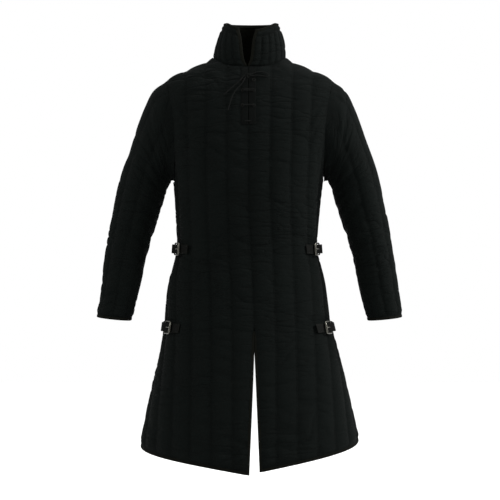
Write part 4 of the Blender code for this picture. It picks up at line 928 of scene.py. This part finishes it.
collar = {
    "channels": 24, "perChannel": 9, "rows": 30, "puff": 0.003, "seat": -0.0006, "bow": 0.004, "sway": 0.0011,
    "channelWidth": (0.0215, 0.017),    # at the foot and at the top
    "topHalf": 0.068, "topDepth": {front: 0.06, back: 0.064}, "topCentre": (0.004, -0.004, 0.0975),
    "tilt": 0.165, "seed": 93, "swaySeed": 91, "firstChannel": 140, "wrinkleShare": 0.7,
    "topBand": 0.86,    # the quilting ends at this share of the height
    "topRise": {    # share of the half width, rise of the top edge
        front: np.array([(-0.2, -0.0115), (0.0, -0.0115), (0.25, -0.0105), (0.45, -0.008), (0.7, -0.001),
                         (0.88, 0.004), (1.0, 0.003), (1.2, 0.003)]),
        back: np.array([(-0.2, -0.001), (0.0, -0.001), (0.7, 0.0), (0.9, 0.002), (1.0, 0.003),
                        (1.2, 0.003)])},
    "opening": np.array([    # share of the height, half the gap at the front
        (-0.2, 0.0008), (0.0, 0.003), (0.2, 0.012), (0.8, 0.019), (1.0, 0.025), (1.2, 0.03)]),
}


def neckEdge(face):    # dense points of the panel's neckline
    x = coat["neckHalf"] * np.sin(np.linspace(-math.pi / 2, math.pi / 2, 181))
    return bodyPoint(face, x, topEdge(face, x), -valley)


neckEdges = {face: neckEdge(face) for face in (front, back)}


def collarPoint(share, angle, out):
    share, angle = np.broadcast_arrays(np.asarray(share, float), np.asarray(angle, float))
    sine, cosine, behind = np.sin(angle), np.cos(angle), np.cos(angle) > 0
    base, rise = np.zeros(angle.shape + (3,)), np.zeros(angle.shape)
    for face in (front, back):
        edge, here = neckEdges[face], behind == (face == back)
        x = (edge[0, 0] + edge[-1, 0]) / 2 + (edge[-1, 0] - edge[0, 0]) / 2 * sine
        base = np.where(here[..., None], atRun(x, edge[:, 0], edge), base)
        rise = np.where(here, readCurve(collar["topRise"][face], np.abs(sine)), rise)
    base[..., 2] += collar["seat"]
    cx, cy, cz = collar["topCentre"]
    y = cy + np.where(behind, collar["topDepth"][back], collar["topDepth"][front]) * cosine
    top = np.stack([cx + collar["topHalf"] * sine, y, cz + collar["tilt"] * (y - cy) + rise], axis=-1)
    normal = unit(np.stack([sine / coat["neckHalf"], cosine / 0.07, np.zeros(angle.shape)], axis=-1))
    sway = softNoise(angle * 2.3 + 9, share * 2.0, collar["swaySeed"]) * collar["sway"]
    arch = np.sin(math.pi * np.clip(share, 0, 1))
    bow = collar["bow"] * arch + sway * arch**0.5
    return base + (top - base) * share[..., None] + normal * (np.asarray(out) + bow)[..., None]


def collarAngles(share, count):    # from one front edge round the back to the other
    halfGap = float(readCurve(collar["opening"], share))
    middle = float(centreLine(0.05)) - collar["topCentre"][0] * share
    width = coat["neckHalf"] + (collar["topHalf"] - coat["neckHalf"]) * share
    return np.linspace(-math.pi - math.asin((middle - halfGap) / width),
                       math.pi - math.asin((middle + halfGap) / width), count + 1)


def makeCollar():
    shell, grids = Shell(), ([], [])
    count = collar["channels"] * collar["perChannel"]
    column = np.arange(count + 1)
    channel = column / collar["perChannel"]
    fromEnd = np.minimum(column, count - column) / collar["perChannel"]
    channelNumber = np.floor(channel) + collar["firstChannel"]
    foot, top = collar["channelWidth"]
    for number in range(collar["rows"] + 1):
        share = number / collar["rows"]
        angle, width = collarAngles(share, count), foot + (top - foot) * share
        edge, distance = fromEnd * width, np.abs(channel - np.round(channel)) * width
        above = share - collar["topBand"]
        bandLine = abs(above) * 0.1
        band = float(smoothStep(above, -0.03, 0.04))
        roll = math.sin(math.pi * min(max(above / (1 - collar["topBand"]), 0), 1))
        puff = puffShare(np.minimum(distance, edge), width / 2) * (1 - band) + 0.9 * roll * band
        puff = puff * smoothStep(share, 0.0, 0.1) * smoothStep(bandLine, 0.0, 0.006)
        puff = np.where(share == 1.0, 0.0, puff) * smoothStep(edge, 0.0, 0.004)
        rise = np.full(count + 1, share * 0.1)
        wrinkle = channelWrinkles(rise, angle * 0.08, puff, distance, channelNumber, collar["seed"],
                                  collar["wrinkleShare"])
        lift = np.maximum(collar["puff"] * puff - wrinkle, -0.0008)
        place = np.stack([channel * 0.02, rise, np.full(count + 1, 0.9)], axis=-1)
        stitch = np.minimum(distance, bandLine) if above <= 0 else np.full(count + 1, bandLine)
        for wall, value in enumerate((lift, -coat["stitch"])):
            points = collarPoint(share, angle, value)
            grids[wall].append(shell.addRow(column.tolist(), points, place, stitch, puff, wall == 1))
    shell.skin(*grids, lambda k: [0, -1])
    return shell.makePiece("collar")


collarPiece = makeCollar()
print("collar made")

bindingRoll = {    # round profile of a folded strip: share of its reach, share of its half thickness
    "profile": np.array([
        (-0.55, 0.92), (0, 1), (0.3, 1), (0.42, 0.93), (0.62, 0.97), (0.82, 0.7), (0.96, 0.36), (1, 0),
        (0.96, -0.36), (0.82, -0.7), (0.62, -0.97), (0.42, -0.93), (0.3, -1), (0, -1), (-0.55, -0.92)]),
    "middle": -(coat["crest"] + valley) / 2, "half": (coat["crest"] - valley) / 2 + coat["bindingProud"],
    "wobble": 0.00022, "seed": 17, "cuffSeed": 23, "collarMiddle": -0.00175, "collarHalf": 0.00275,
    "slitHead": 1 - 0.35 / 9, "ventEnd": 7 / 9,    # where a skirt's binding starts and ends
}
rollReach, rollOffset = bindingRoll["profile"].T
rollWidth = coat["binding"] - coat["seam"]
placket = {
    "thickness": 0.0016, "width": 0.052 / 3, "low": 3 / 11, "high": 10 / 11, "rows": 64, "columns": 14,
    "topstitch": 0.0016, "dip": 0.0003, "ripple": 0.00028, "roundEdge": 0.0012, "sunk": 0.00025, "seed": 29,
}


# skin a run of closed cross-sections; its cloth coordinates run round and along it
def sweepPiece(name, form, sections, material, closed=False, smoothAngle=80, extra=None):
    sections = np.asarray(sections)
    count, sides = sections.shape[:2]
    faces = sweepFaces(0, count, sides, closed)
    place = np.zeros((count, sides, 3))
    place[..., 0] = np.arange(sides) * 0.0012
    place[..., 1] = runAlong(sections.mean(axis=1))[:, None]
    # the tapes take a fixed crest share, which sets their painted valley shade
    attributes = {"clothPlace": place.reshape(-1, 3), "crestShare": np.full(count * sides, 0.8),
                  "stitchLine": np.full(count * sides, 1.0), **(extra or {})}
    return addPiece(name, form, sections.reshape(-1, 3), faces, material, attributes, smoothAngle)


def sweepFaces(first, count, sides, closed=False):    # quads round a run of sections, and its two ends
    faces = []
    for k in range(count if closed else count - 1):
        a, b = first + k * sides, first + (k + 1) % count * sides
        faces += [(a + i, a + (i + 1) % sides, b + (i + 1) % sides, b + i) for i in range(sides)]
    if not closed:
        last = first + (count - 1) * sides
        faces += [tuple(range(first, first + sides)), tuple(reversed(range(last, last + sides)))]
    return faces


# one skirt half's free edge, slit then hem then vent: share, arc, inward sign, 1 along the hem
def skirtEdge(face, side):
    edge = []
    for share in np.linspace(bindingRoll["slitHead"], 0.0, 74):
        level = float(rowHeight("lower", share, face, side, 0.0))
        edge.append((share, slitHalf(face, level), 1, int(share == 0.0)))
    limit = float(halfGirth(face, side, coat["hem"][side][0])) - coat["ventSetback"]
    arcs = [k * columnStep for k in range(1, 200) if edge[-1][1] + 0.002 < k * columnStep < limit - 0.002]
    edge += [(0.0, arc, 0, 1) for arc in arcs] + [(0.0, limit, -1, 1)]
    for share in np.linspace(0.0, bindingRoll["ventEnd"], 60)[1:]:
        level = float(rowHeight("lower", share, face, side, 1.0))
        edge.append((share, float(halfGirth(face, side, level)) - ventSetback("lower", share), -1, 0))
    return edge


def makeSkirtBinding(face, side):
    sections = []
    for number, (share, arc, inward, down) in enumerate(skirtEdge(face, side)):
        height = float(rowHeight("lower", share, face, side, arc))
        height = height - down * (coat["seam"] + rollWidth * rollReach)
        room = (arc - coat["slitTouch"] - coat["seam"]) / rollWidth
        narrow = min(1.0, room) if inward == 1 else 1.0
        sway = bindingRoll["wobble"] * float(softNoise(number * 0.31, side * 3.3, bindingRoll["seed"] + face))
        across = side * (arc - inward * (coat["seam"] + rollWidth * rollReach * narrow))
        lift = bindingRoll["middle"] + (bindingRoll["half"] + sway) * rollOffset
        sections.append(bodyPoint(face, arcX(face, across, height), height, lift))
    name = f"skirt_binding_{faceWord[face]}_{sideWord[side]}"
    return sweepPiece(name, "_tape", sections, bindingTape, smoothAngle=50)


def makeCuffBinding(side):
    above, end = sleeveFrame(side, np.array([sleeve["cuff"] - 1, sleeve["cuff"]]))[0]
    sway = softNoise(np.arange(sleeveCount) * 0.37, side * 2.1, bindingRoll["cuffSeed"])
    middle, half = bindingRoll["middle"], bindingRoll["half"] + bindingRoll["wobble"] * sway
    columns = []
    for reach, offset in bindingRoll["profile"]:
        points = sleevePoint(side, sleeve["cuff"], ringAngles(sleeveCount), middle + half * offset)
        columns.append(points + unit(end - above) * (coat["seam"] + rollWidth * reach))
    name = "cuff_binding_" + sideWord[side]
    return sweepPiece(name, "_tape", np.stack(columns, axis=1), bindingTape, True, 50)


def makeCollarBinding():    # up one edge of the opening, over the top, and down the other
    outs = bindingRoll["collarMiddle"] + bindingRoll["collarHalf"] * rollOffset

    def strip(share, angle, sideways, up, width=coat["binding"]):
        points = collarPoint(share, np.full(len(outs), angle), outs)
        shift = coat["seam"] + (width - coat["seam"]) * rollReach
        return points + np.stack([sideways * shift, 0 * shift, up * shift], axis=-1)

    edges = {}
    for end, side in ((0, right), (-1, left)):
        edges[end] = []
        for share in np.linspace(0.0, 1.0, 28)[:-1]:
            room = float(readCurve(collar["opening"], share)) - coat["neckSlitHalf"] - 0.001
            edges[end].append(strip(share, collarAngles(share, 1)[end], side, 0, min(coat["binding"], room)))
        edges[end].append(strip(1.0, collarAngles(1.0, 1)[end], side, 1))
    top = [strip(1.0, angle, 0, 1) for angle in collarAngles(1.0, 170)[1:-1]]
    return sweepPiece("collar_binding", "_tape", edges[0] + top + edges[-1][::-1], bindingTape,
                      smoothAngle=50)


def makeFacing(side):    # a flat strip beside the neck slit, topstitched along both edges
    base = -(coat["crest"] - coat["placketWall"] - coat["seam"])
    across = np.linspace(0.0, 1.0, placket["columns"])
    fromEdge = np.minimum(across, 1 - across) * placket["width"]
    fromStitch = fromEdge - placket["topstitch"]
    rounding = np.sqrt(np.clip(fromEdge / placket["roundEdge"], 0, 1))
    dip = placket["dip"] * np.exp(-(fromStitch / 0.0008) ** 2)
    full = placket["thickness"] * (0.45 + 0.55 * rounding) - dip
    sections = []
    for share in np.linspace(placket["low"], placket["high"], placket["rows"]):
        near, far = upperX(front, np.array([0.0, side * placket["width"]]), share)
        near += side * coat["neckSlitHalf"]
        x = near + (far - near) * across
        height = upperHeight(front, x, share)
        ripple = placket["ripple"] * softNoise(height / 0.008, across * 2 + side, placket["seed"])
        upper = bodyPoint(front, x, height, base + full + ripple * rounding - placket["sunk"])
        sections.append(np.concatenate([upper, bodyPoint(front, x, height, base)[::-1]]))
    stitches = np.tile(np.concatenate([np.abs(fromStitch), np.ones(len(across))]), placket["rows"])
    name = "neck_facing_" + sideWord[side]
    return sweepPiece(name, "_tape", sections, facingTape, False, 50, {"stitchLine": stitches})


bindings = {(face, side): makeSkirtBinding(face, side) for face in (front, back) for side in (left, right)}
cuffs = {side: makeCuffBinding(side) for side in (left, right)}
collarBinding = makeCollarBinding()
facings = [makeFacing(side) for side in (left, right)]
print("bindings and facings made")


def smoothRoute(stops, pieces):
    stops = np.asarray(stops, float)
    last, route = len(stops) - 1, []
    for k in range(last):
        before, a, b, after = (stops[min(max(j, 0), last)] for j in range(k - 1, k + 3))
        route += [smoothBlend(t, a, (b - before) / 2, b, (after - a) / 2) for t in np.arange(pieces) / pieces]
    return np.array(route + [stops[-1]])


def evenRoute(points, spacing):
    run = runAlong(points)
    return atRun(np.linspace(0.0, run[-1], max(int(run[-1] / spacing), 2) + 1), run, points)


def acrossRoute(points, closed=False):    # directions across a route, turning as little as they can
    ahead, behind = np.roll(points, -1, axis=0), np.roll(points, 1, axis=0)
    tangents = unit(ahead - behind if closed else np.gradient(points, axis=0))
    normal = np.cross(tangents[0], (0.0, 0.0, 1.0))
    if np.linalg.norm(normal) < 0.2:
        normal = np.cross(tangents[0], (1.0, 0.0, 0.0))
    normals, normal = [], unit(normal)
    for tangent in tangents:
        normal = unit(normal - tangent * np.dot(normal, tangent))
        normals.append(normal)
    return np.array(normals), np.cross(tangents, normals)


def tubeSections(points, radii, sides, closed=False, shape=1.0):
    normals, binormals = acrossRoute(points, closed)
    angle = ringAngles(sides)[None, :, None]
    reach = np.broadcast_to(np.reshape(radii, (-1, 1)) * shape, (len(points), sides))[..., None]
    ring = np.cos(angle) * normals[:, None, :] + np.sin(angle) * binormals[:, None, :]
    return points[:, None, :] + reach * ring


lace = {
    "diameter": 0.0024, "spacing": 0.0007, "pitch": 0.0058, "plies": 3, "sides": 15,
    "knot": (0.000, -0.037, 0.0028), "knotSize": 0.002, "knotRadius": 0.00118,
    "ends": {    # distance across from the slit, height, lift; then what the far end meets
        "lace_end_long": ([
            (-0.0065, -0.042, 0.003), (-0.01, -0.05, 0.0032), (-0.018, -0.062, 0.0026),
            (-0.028, -0.072, 0.002), (-0.036, -0.085, 0.002), (-0.0415, -0.1, 0.002),
            (-0.045, -0.112, 0.002), (-0.0486, -0.1246, 0.002)], "bare"),
        "lace_end_short": ([
            (-0.007, -0.0365, 0.003), (-0.013, -0.0415, 0.0032), (-0.022, -0.052, 0.002),
            (-0.033, -0.062, 0.002), (-0.045, -0.073, 0.002), (-0.059, -0.086, 0.002)], "bare"),
        "lace_loop": ([
            (0.007, -0.0345, 0.0024), (0.014, -0.031, 0.0012), (0.025, -0.028, 0.002),
            (0.037, -0.0285, 0.002), (0.047, -0.0325, 0.002), (0.0505, -0.037, 0.002), (0.046, -0.04, 0.002),
            (0.035, -0.0385, 0.002), (0.023, -0.037, 0.002), (0.013, -0.0375, 0.0012),
            (0.0068, -0.039, 0.0024)], "knot")},
    "eyeletLevels": (-0.047, -0.0735, -0.111), "eyeletSide": 0.0135, "eyeletRadius": 0.0032,
    "eyeletWire": 0.0009,
    "bars": {"upper": -0.0718, "middle": -0.0752, "lower": -0.111},
    "barSlack": 0.0003, "barEnd": 0.0008,
}
tack = {"radius": 0.0011, "half": 0.008, "rise": 0.0012, "aboveSlitEnd": 0.004, "spacing": 0.0002}


def slitX(offset):
    return float(centreLine(coat["neckSlitLevel"])) + offset


def facingPoint(offset, height, lift):
    base = coat["crest"] - coat["placketWall"] - coat["seam"] - placket["thickness"]
    return bodyPoint(front, slitX(offset), height, lift - base)


def pliedCord(name, points, diameter):
    points = evenRoute(points, lace["spacing"])
    number = np.arange(len(points))
    twist = ringAngles(lace["sides"]) - 2 * math.pi * (number * lace["spacing"])[:, None] / lace["pitch"]
    shape = 0.8 + 0.2 * np.abs(np.cos(lace["plies"] * twist / 2)) ** 0.8
    taper = np.clip(0.55 + np.minimum(number, number[::-1]) * 0.22, 0, 1)
    sections = tubeSections(points, diameter / 2 * taper, lace["sides"], shape=shape)
    return sweepPiece(name, "_cord", sections, laceCord)


def makeLaceEnd(name, stops, farEnd):
    path = np.array([bodyPoint(front, slitX(x), z, lift) for x, z, lift in smoothRoute(stops, 8)])
    piece = pliedCord(name, path, lace["diameter"])
    round(float(runAlong(path)[-1]), 4)


def makeKnot():    # a tight trefoil of the same cord
    t = ringAngles(160)
    size, (x, z, lift) = lace["knotSize"], lace["knot"]
    flat = np.stack([size * (np.sin(t) + 2 * np.sin(2 * t)), -0.00125 * np.sin(3 * t),
                     size * 0.9 * (np.cos(t) - 2 * np.cos(2 * t))], axis=-1)
    twist = ringAngles(lace["sides"]) - 6 * t[:, None]
    shape = 0.82 + 0.18 * np.abs(np.cos(lace["plies"] * twist / 2))
    points = flat + bodyPoint(front, slitX(x), z, lift)
    sections = tubeSections(points, lace["knotRadius"], lace["sides"], True, shape)
    sweepPiece("lace_knot", "_cord", sections, laceCord, closed=True)


def makeLacingBar(place, level):    # from one eyelet to the other, over the facings
    lift = lace["eyeletWire"] * 2 + 2 * coat["seam"] + lace["diameter"] / 2
    half = [(0.5, lift + lace["barSlack"]), (0.84, lift), (0.96, lift * 0.75), (1.0, lace["barEnd"])]
    stops = [(-share, rise) for share, rise in half[::-1]] + [(0, lift + 0.0002)] + half
    points = [facingPoint(lace["eyeletSide"] * share, level, rise) for share, rise in stops]
    pliedCord("lacing_" + place, smoothRoute(points, 6), lace["diameter"] * 0.94)


def makeEyelet(number, side):    # buttonhole stitches round a hole
    turns = ringAngles(96)
    level, radius, wire = lace["eyeletLevels"][number - 1], lace["eyeletRadius"], lace["eyeletWire"]
    ring = np.array([facingPoint(side * lace["eyeletSide"] + radius * math.cos(turn),
                                 level + radius * math.sin(turn), wire * 0.9) for turn in turns])
    ridge = 0.84 + 0.16 * np.abs(np.sin(turns * 12))[:, None]
    sweepPiece(f"eyelet_{number}_{sideWord[side]}", "_thread", tubeSections(ring, wire, 10, True, ridge),
               buttonholeThread, closed=True)


def makeTack():    # close satin stitches across the slit's foot
    level = coat["neckSlitEnd"] + tack["aboveSlitEnd"]
    across = np.linspace(-tack["half"], tack["half"], 9)
    stops = np.array([facingPoint(x, level, tack["rise"]) for x in across])
    points = evenRoute(stops, tack["spacing"])
    ridge = 0.8 + 0.2 * np.abs(np.sin(np.arange(len(points)) * 0.9))[:, None]
    sections = tubeSections(points, tack["radius"], 10, shape=ridge)
    sweepPiece("slit_bar_tack", "_thread", sections, buttonholeThread)


for name, (stops, farEnd) in lace["ends"].items():
    makeLaceEnd(name, stops, farEnd)
makeKnot()
for place, level in lace["bars"].items():
    makeLacingBar(place, level)
for number in (1, 2, 3):
    for side in (left, right):
        makeEyelet(number, side)
makeTack()
print("lace and eyelets made")

straps = {
    "places": {"waist": (-0.458, -0.054), "hip": (-0.65, -0.078)},    # height, arc of the buckle's middle
    "width": 0.022, "thickness": 0.0018, "seat": 0.0008,
    "tipLength": 0.013, "tipWidth": 0.1, "creaseFromEdge": 0.0024, "creaseDepth": 0.00026,
    "holes": (0.001, 0.02, 0.039), "holeRadius": 0.0016, "holeDepth": 0.0013,
    "edgeRadius": 0.00055, "rubbed": (0.0004, 0.0024),    # distances from an edge with full and no rubbing
    "thread": 0.00034, "stitch": 0.003, "gap": 0.0009, "boxInset": 0.0036,
    "columns": np.array([    # distances from an edge
        0.0, 0.00008, 0.00028, 0.0006, 0.0012, 0.0018, 0.0024, 0.003, 0.004, 0.0056, 0.0072, 0.0084, 0.009,
        0.0094, 0.0098, 0.0102, 0.0106, 0.011]),
}
buckle = {
    "length": 0.028, "height": 0.032, "wire": 0.0036, "corner": 0.003, "lift": 0.0054,
    "roller": 0.006, "rollerBore": 0.0042, "rollerLength": 0.0215, "pin": 0.0024,
    "seamTurn": 2.2, "seamDepth": 0.00035,   # where and how deep the rolled sheet's ends meet
}
bar = (buckle["length"] - buckle["wire"]) / 2
wrap = buckle["wire"] / 2 + coat["seam"] + straps["thickness"] / 2
slant = 0.7 * wrap
# stops of a strap: lies on the body or in the buckle's own plane, arc from the buckle's middle, lift
strapStops = [    # sewn to the front, under the roller, over the bar, to the tail
    ("body", -0.04, 0.0013), ("body", -0.03, 0.0013), ("body", -0.02, 0.0013), ("buckle", -bar, 0.0009),
    ("buckle", -0.007, 0.0018), ("buckle", 0.0, 0.0056), ("buckle", 0.005, 0.0084),
    ("buckle", 0.009, 0.0103), ("buckle", bar, 0.0109), ("buckle", 0.018, 0.0103),
    ("body", 0.025, 0.0092), ("body", 0.034, 0.0064), ("body", 0.045, 0.0046),
    ("body", 0.056, 0.004), ("body", 0.066, 0.0038)]
chapeStops = [    # sewn to the back, round the bar, and folded over itself
    *(("body", arc, 0.0013) for arc in (0.112, 0.1, 0.088, 0.077, 0.066, 0.056, 0.045, 0.034, 0.027, 0.02)),
    ("buckle", bar, buckle["lift"] - wrap), ("buckle", bar - slant, buckle["lift"] - slant),
    ("buckle", bar - wrap, buckle["lift"]), ("buckle", bar - slant, buckle["lift"] + slant),
    ("buckle", bar, buckle["lift"] + wrap), ("buckle", 0.0165, 0.0072), ("body", 0.025, 0.004),
    ("body", 0.033, 0.0035)]


def strapPoint(side, arc, height, lift):    # over the body near the side seam
    face, height = front if arc < 0 else back, np.float64(height)
    quarter = quarterSection(face, height)[0][-1]
    x = section(height, sectionCentre) + side * acrossArc(face, height, np.float64(quarter - abs(arc)))
    return bodyPoint(face, x, height, lift + straps["seat"])


def buckleFrame(side, level, arc):    # the buckle's place, with its directions along, up or down, and out
    step = 0.002
    origin = strapPoint(side, arc, level, 0.0)
    along = unit(strapPoint(side, arc + step, level, 0.0) - origin)
    out = unit(strapPoint(side, arc, level, step) - origin)
    upright = unit(np.cross(out, along))
    return origin, np.stack([along, upright, np.cross(along, upright)])


def placed(here, points):
    origin, directions = here
    return origin + np.asarray(points) @ directions


def strapRoute(side, place, stops, here):    # distance along, middles and width directions
    middles, widths, half = [], [], straps["width"] / 2
    for kind, arc, lift in stops:
        if kind == "buckle":
            middles.append(placed(here, (arc, 0, lift)))
            widths.append(here[1][1] * side)
        else:
            high, low = (strapPoint(side, place[1] + arc, place[0] + up, lift) for up in (half, -half))
            middles.append((high + low) / 2)
            widths.append(unit(high - low))
    return np.column_stack([runAlong(middles), middles, widths])


def alongStrap(route, run):    # middle, width direction and outward direction at distances along a strap
    def read(places, columns):
        return np.stack([readCurve(route, places, column) for column in columns], axis=-1)

    step, middle, across = 0.0004, (1, 2, 3), (4, 5, 6)
    ahead, behind = np.minimum(run + step, route[-1, 0]), np.maximum(run - step, 0)
    tangent = read(ahead, middle) - read(behind, middle)
    width = unit(read(run, across))
    return read(run, middle), width, unit(np.cross(tangent, width))


def quarterRound(distance, radius):    # 0 at an edge, 1 past its rounding
    return np.sqrt(np.clip(1 - (1 - np.clip(distance / radius, 0, 1)) ** 2, 0, 1))


def makeStrap(name, route, holes, outward):    # a strap with holes has a pointed tip
    total, half = route[-1, 0], straps["width"] / 2
    near = [hole + k * 0.0004 for hole in holes for k in range(-7, 8)]
    tip = [total - straps["tipLength"] * share**2 for share in np.linspace(0, 1, 14) if len(holes)]
    run = np.concatenate([np.linspace(0, total, int(total / 0.0011)), near, tip])
    run = np.unique(np.round(np.clip(run, 0, total), 5))
    middle, width, out = alongStrap(route, run)
    fromMiddle = half - straps["columns"]
    share = np.concatenate([-fromMiddle, fromMiddle[::-1][1:]]) / half
    fromEdge, fromEnd = half * (1 - np.abs(share)), np.minimum(run, total - run)
    narrow = np.ones(len(run))
    if len(holes):
        back = np.clip((total - run) / straps["tipLength"], 0, 1)
        narrow = straps["tipWidth"] + (1 - straps["tipWidth"]) * np.sin(math.pi / 2 * back) ** 0.75
    roundEdge = quarterRound(fromEdge, straps["edgeRadius"])
    roundEnd = quarterRound(fromEnd + 0.0001, straps["edgeRadius"])[:, None]
    rise = straps["thickness"] / 2 * (0.35 + 0.65 * roundEdge) * (0.45 + 0.55 * roundEnd)
    crease = straps["creaseDepth"] * np.exp(-((fromEdge - straps["creaseFromEdge"]) / 0.0005) ** 2)
    across = share * half * narrow[:, None]
    pit, radius = np.zeros(across.shape), straps["holeRadius"]
    for hole in holes:
        away = np.hypot(run[:, None] - hole, across)
        pit = np.maximum(pit, 1 - smoothStep(away, radius * 0.75, radius * 1.15))
    centre, out = middle[:, None, :] + across[..., None] * width[:, None, :], outward * out[:, None, :]
    upper = centre + (rise - crease - pit * straps["holeDepth"])[..., None] * out
    lower = centre - (rise * 0.98)[..., None] * out
    away = np.minimum(fromEdge, fromEnd[:, None])
    edge = 1 - smoothStep(away, *straps["rubbed"])
    # holeShare marks the hole pits, which the leather paints black as painted shade
    extra = {"edgeShare": np.concatenate([edge, edge[:, ::-1] * 0.6], axis=1).ravel(),
             "holeShare": np.concatenate([pit, pit * 0], axis=1).ravel()}
    sweepPiece(name, "_leather", np.concatenate([upper, lower[:, ::-1]], axis=1), strapLeather,
               smoothAngle=60, extra=extra)


# a box of saddle stitches with a cross in it, where a strap is sewn down
def boxStitching(name, route, start, end, outward):
    half, sides, reach = straps["width"] / 2 - straps["boxInset"], 6, straps["stitch"] + straps["gap"]
    a, b, c, d = (start, -half), (start, half), (end, half), (end, -half)
    points, faces, angle = [], [], ringAngles(sides)
    arch = np.array([(0.0, -0.8, 0.7), (0.12, 0.25, 1), (0.5, 0.6, 1), (0.88, 0.25, 1), (1.0, -0.8, 0.7)])
    for (runA, acrossA), (runB, acrossB) in ((a, b), (b, c), (c, d), (d, a), (a, c), (b, d)):
        share = np.linspace(0, 1, 9)
        middle, width, out = alongStrap(route, runA + (runB - runA) * share)
        line = middle + width * (acrossA + (acrossB - acrossA) * share)[:, None]
        line += out * outward * straps["thickness"] / 2
        run = runAlong(line)
        for number in range(int((run[-1] + straps["gap"]) / reach)):
            at = number * reach + straps["stitch"] * arch[:, 0]
            up = atRun(at, run, out * outward)
            spine = atRun(at, run, line) + up * straps["thread"] * arch[:, 1:2]
            sideways = unit(np.cross(spine[-1] - spine[0], up[0]))
            faces += sweepFaces(len(points), len(arch), sides)
            for here, direction, size in zip(spine, up, arch[:, 2]):
                ring = np.cos(angle)[:, None] * sideways + np.sin(angle)[:, None] * direction
                points.extend(here + ring * straps["thread"] * size)
    addPiece(name, "", points, faces, buttonholeThread, creaseAngle=80)


def makeBuckleWire(name, here):    # a rounded rectangle of round wire
    corner, points = buckle["corner"], []
    reachX, reachY = bar - corner, (buckle["height"] - buckle["wire"]) / 2 - corner
    for quarter, (x, y) in enumerate(((1, 1), (-1, 1), (-1, -1), (1, -1))):
        for angle in math.pi / 2 * quarter + np.linspace(0, math.pi / 2, 9):
            points.append((x * reachX + corner * math.cos(angle), y * reachY + corner * math.sin(angle),
                           buckle["lift"]))
    loop = evenRoute(np.array(points + points[:1]), 0.0009)[:-1]
    sections = tubeSections(placed(here, loop), buckle["wire"] / 2, 16, True)
    sweepPiece(name, "_wire", sections, nickelWire, closed=True)


def makeRoller(name, here):    # rolled from sheet: its seam shows as a groove
    outer, bore, half = buckle["roller"] / 2, buckle["rollerBore"] / 2, buckle["rollerLength"] / 2
    soft, softer = 0.0001, 0.0003    # the turned ends are eased by these
    profile = [(outer, -half + softer), (outer, -half / 2), (outer, half / 2), (outer, half - softer),
               (outer - soft, half - soft), (outer - softer, half), (bore, half), (bore, -half),
               (outer - softer, -half), (outer - soft, -half + soft)]
    sections = []
    for turn in ringAngles(48):
        groove = buckle["seamDepth"] * math.exp(-((turn - buckle["seamTurn"]) / 0.07) ** 2)
        cut = [(radius - (groove if radius > bore else 0), y) for radius, y in profile]
        sections.append([(r * math.cos(turn) - bar, y, buckle["lift"] + r * math.sin(turn)) for r, y in cut])
    sweepPiece(name, "_barrel", placed(here, sections), nickelWire, closed=True, smoothAngle=40)


def makePin(name, here):    # from the strap's hole to the top of the roller, with a blunted point
    top = buckle["lift"] + buckle["roller"] / 2 + buckle["pin"] / 2 + coat["seam"]
    stops = [(0.001, 0, 0.0088), (-0.0012, 0, 0.0093), (-0.006, 0, top + 0.0002), (-bar, 0, top),
             (-bar - 0.004, 0, top - 0.0012)]
    points = evenRoute(smoothRoute(stops, 8), 0.0005)
    radii = np.full(len(points), buckle["pin"] / 2)
    radii[-5:] *= (0.97, 0.9, 0.78, 0.6, 0.34)
    sweepPiece(name, "_prong", tubeSections(placed(here, points), radii, 14), nickelWire)


def makeStrapAndBuckle(tag, side, place):
    here = buckleFrame(side, *place)
    route = strapRoute(side, place, strapStops, here)
    holes = np.interp(straps["holes"], [arc for _, arc, _ in strapStops], route[:, 0])
    makeStrap("strap_" + tag, route, holes, side)
    boxStitching("strap_stitching_" + tag, route, 0.003, 0.015, side)
    route = strapRoute(side, place, chapeStops, here)
    makeStrap("chape_" + tag, route, [], -side)
    boxStitching("chape_stitching_" + tag, route, 0.003, 0.018, -side)
    makeBuckleWire("buckle_frame_" + tag, here)
    makeRoller("buckle_roller_" + tag, here)
    makePin("buckle_pin_" + tag, here)


for placeName, place in straps["places"].items():
    for side in (left, right):
        makeStrapAndBuckle(placeName + "_" + sideWord[side], side, place)
print("straps and buckles made")


# the pieces of cloth as they were cut, from the smooth form between the stitch lines
cloths = [    # piece, width and length of the cut, its area, what it hangs from, what is sewn to it
    (frontPanel, (0.771, 1.049), 0.523, ["collar_cloth"],
     [bindings[front, left], bindings[front, right], *facings]),
    (backPanel, (0.762, 1.06), 0.523, ["collar_cloth"], [bindings[back, left], bindings[back, right]]),
    (sleeves[left], (0.632, 0.615), 0.178, ["front_panel_cloth", "back_panel_cloth"], [cuffs[left]]),
    (sleeves[right], (0.632, 0.615), 0.178, ["front_panel_cloth", "back_panel_cloth"], [cuffs[right]]),
    (collarPiece, (0.5, 0.112), 0.046, ["front_panel_cloth", "back_panel_cloth"], [collarBinding]),
]
for piece, flat, area, hangsFrom, sewnOn in cloths:
    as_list(hangsFrom)
    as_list(sewnOn)
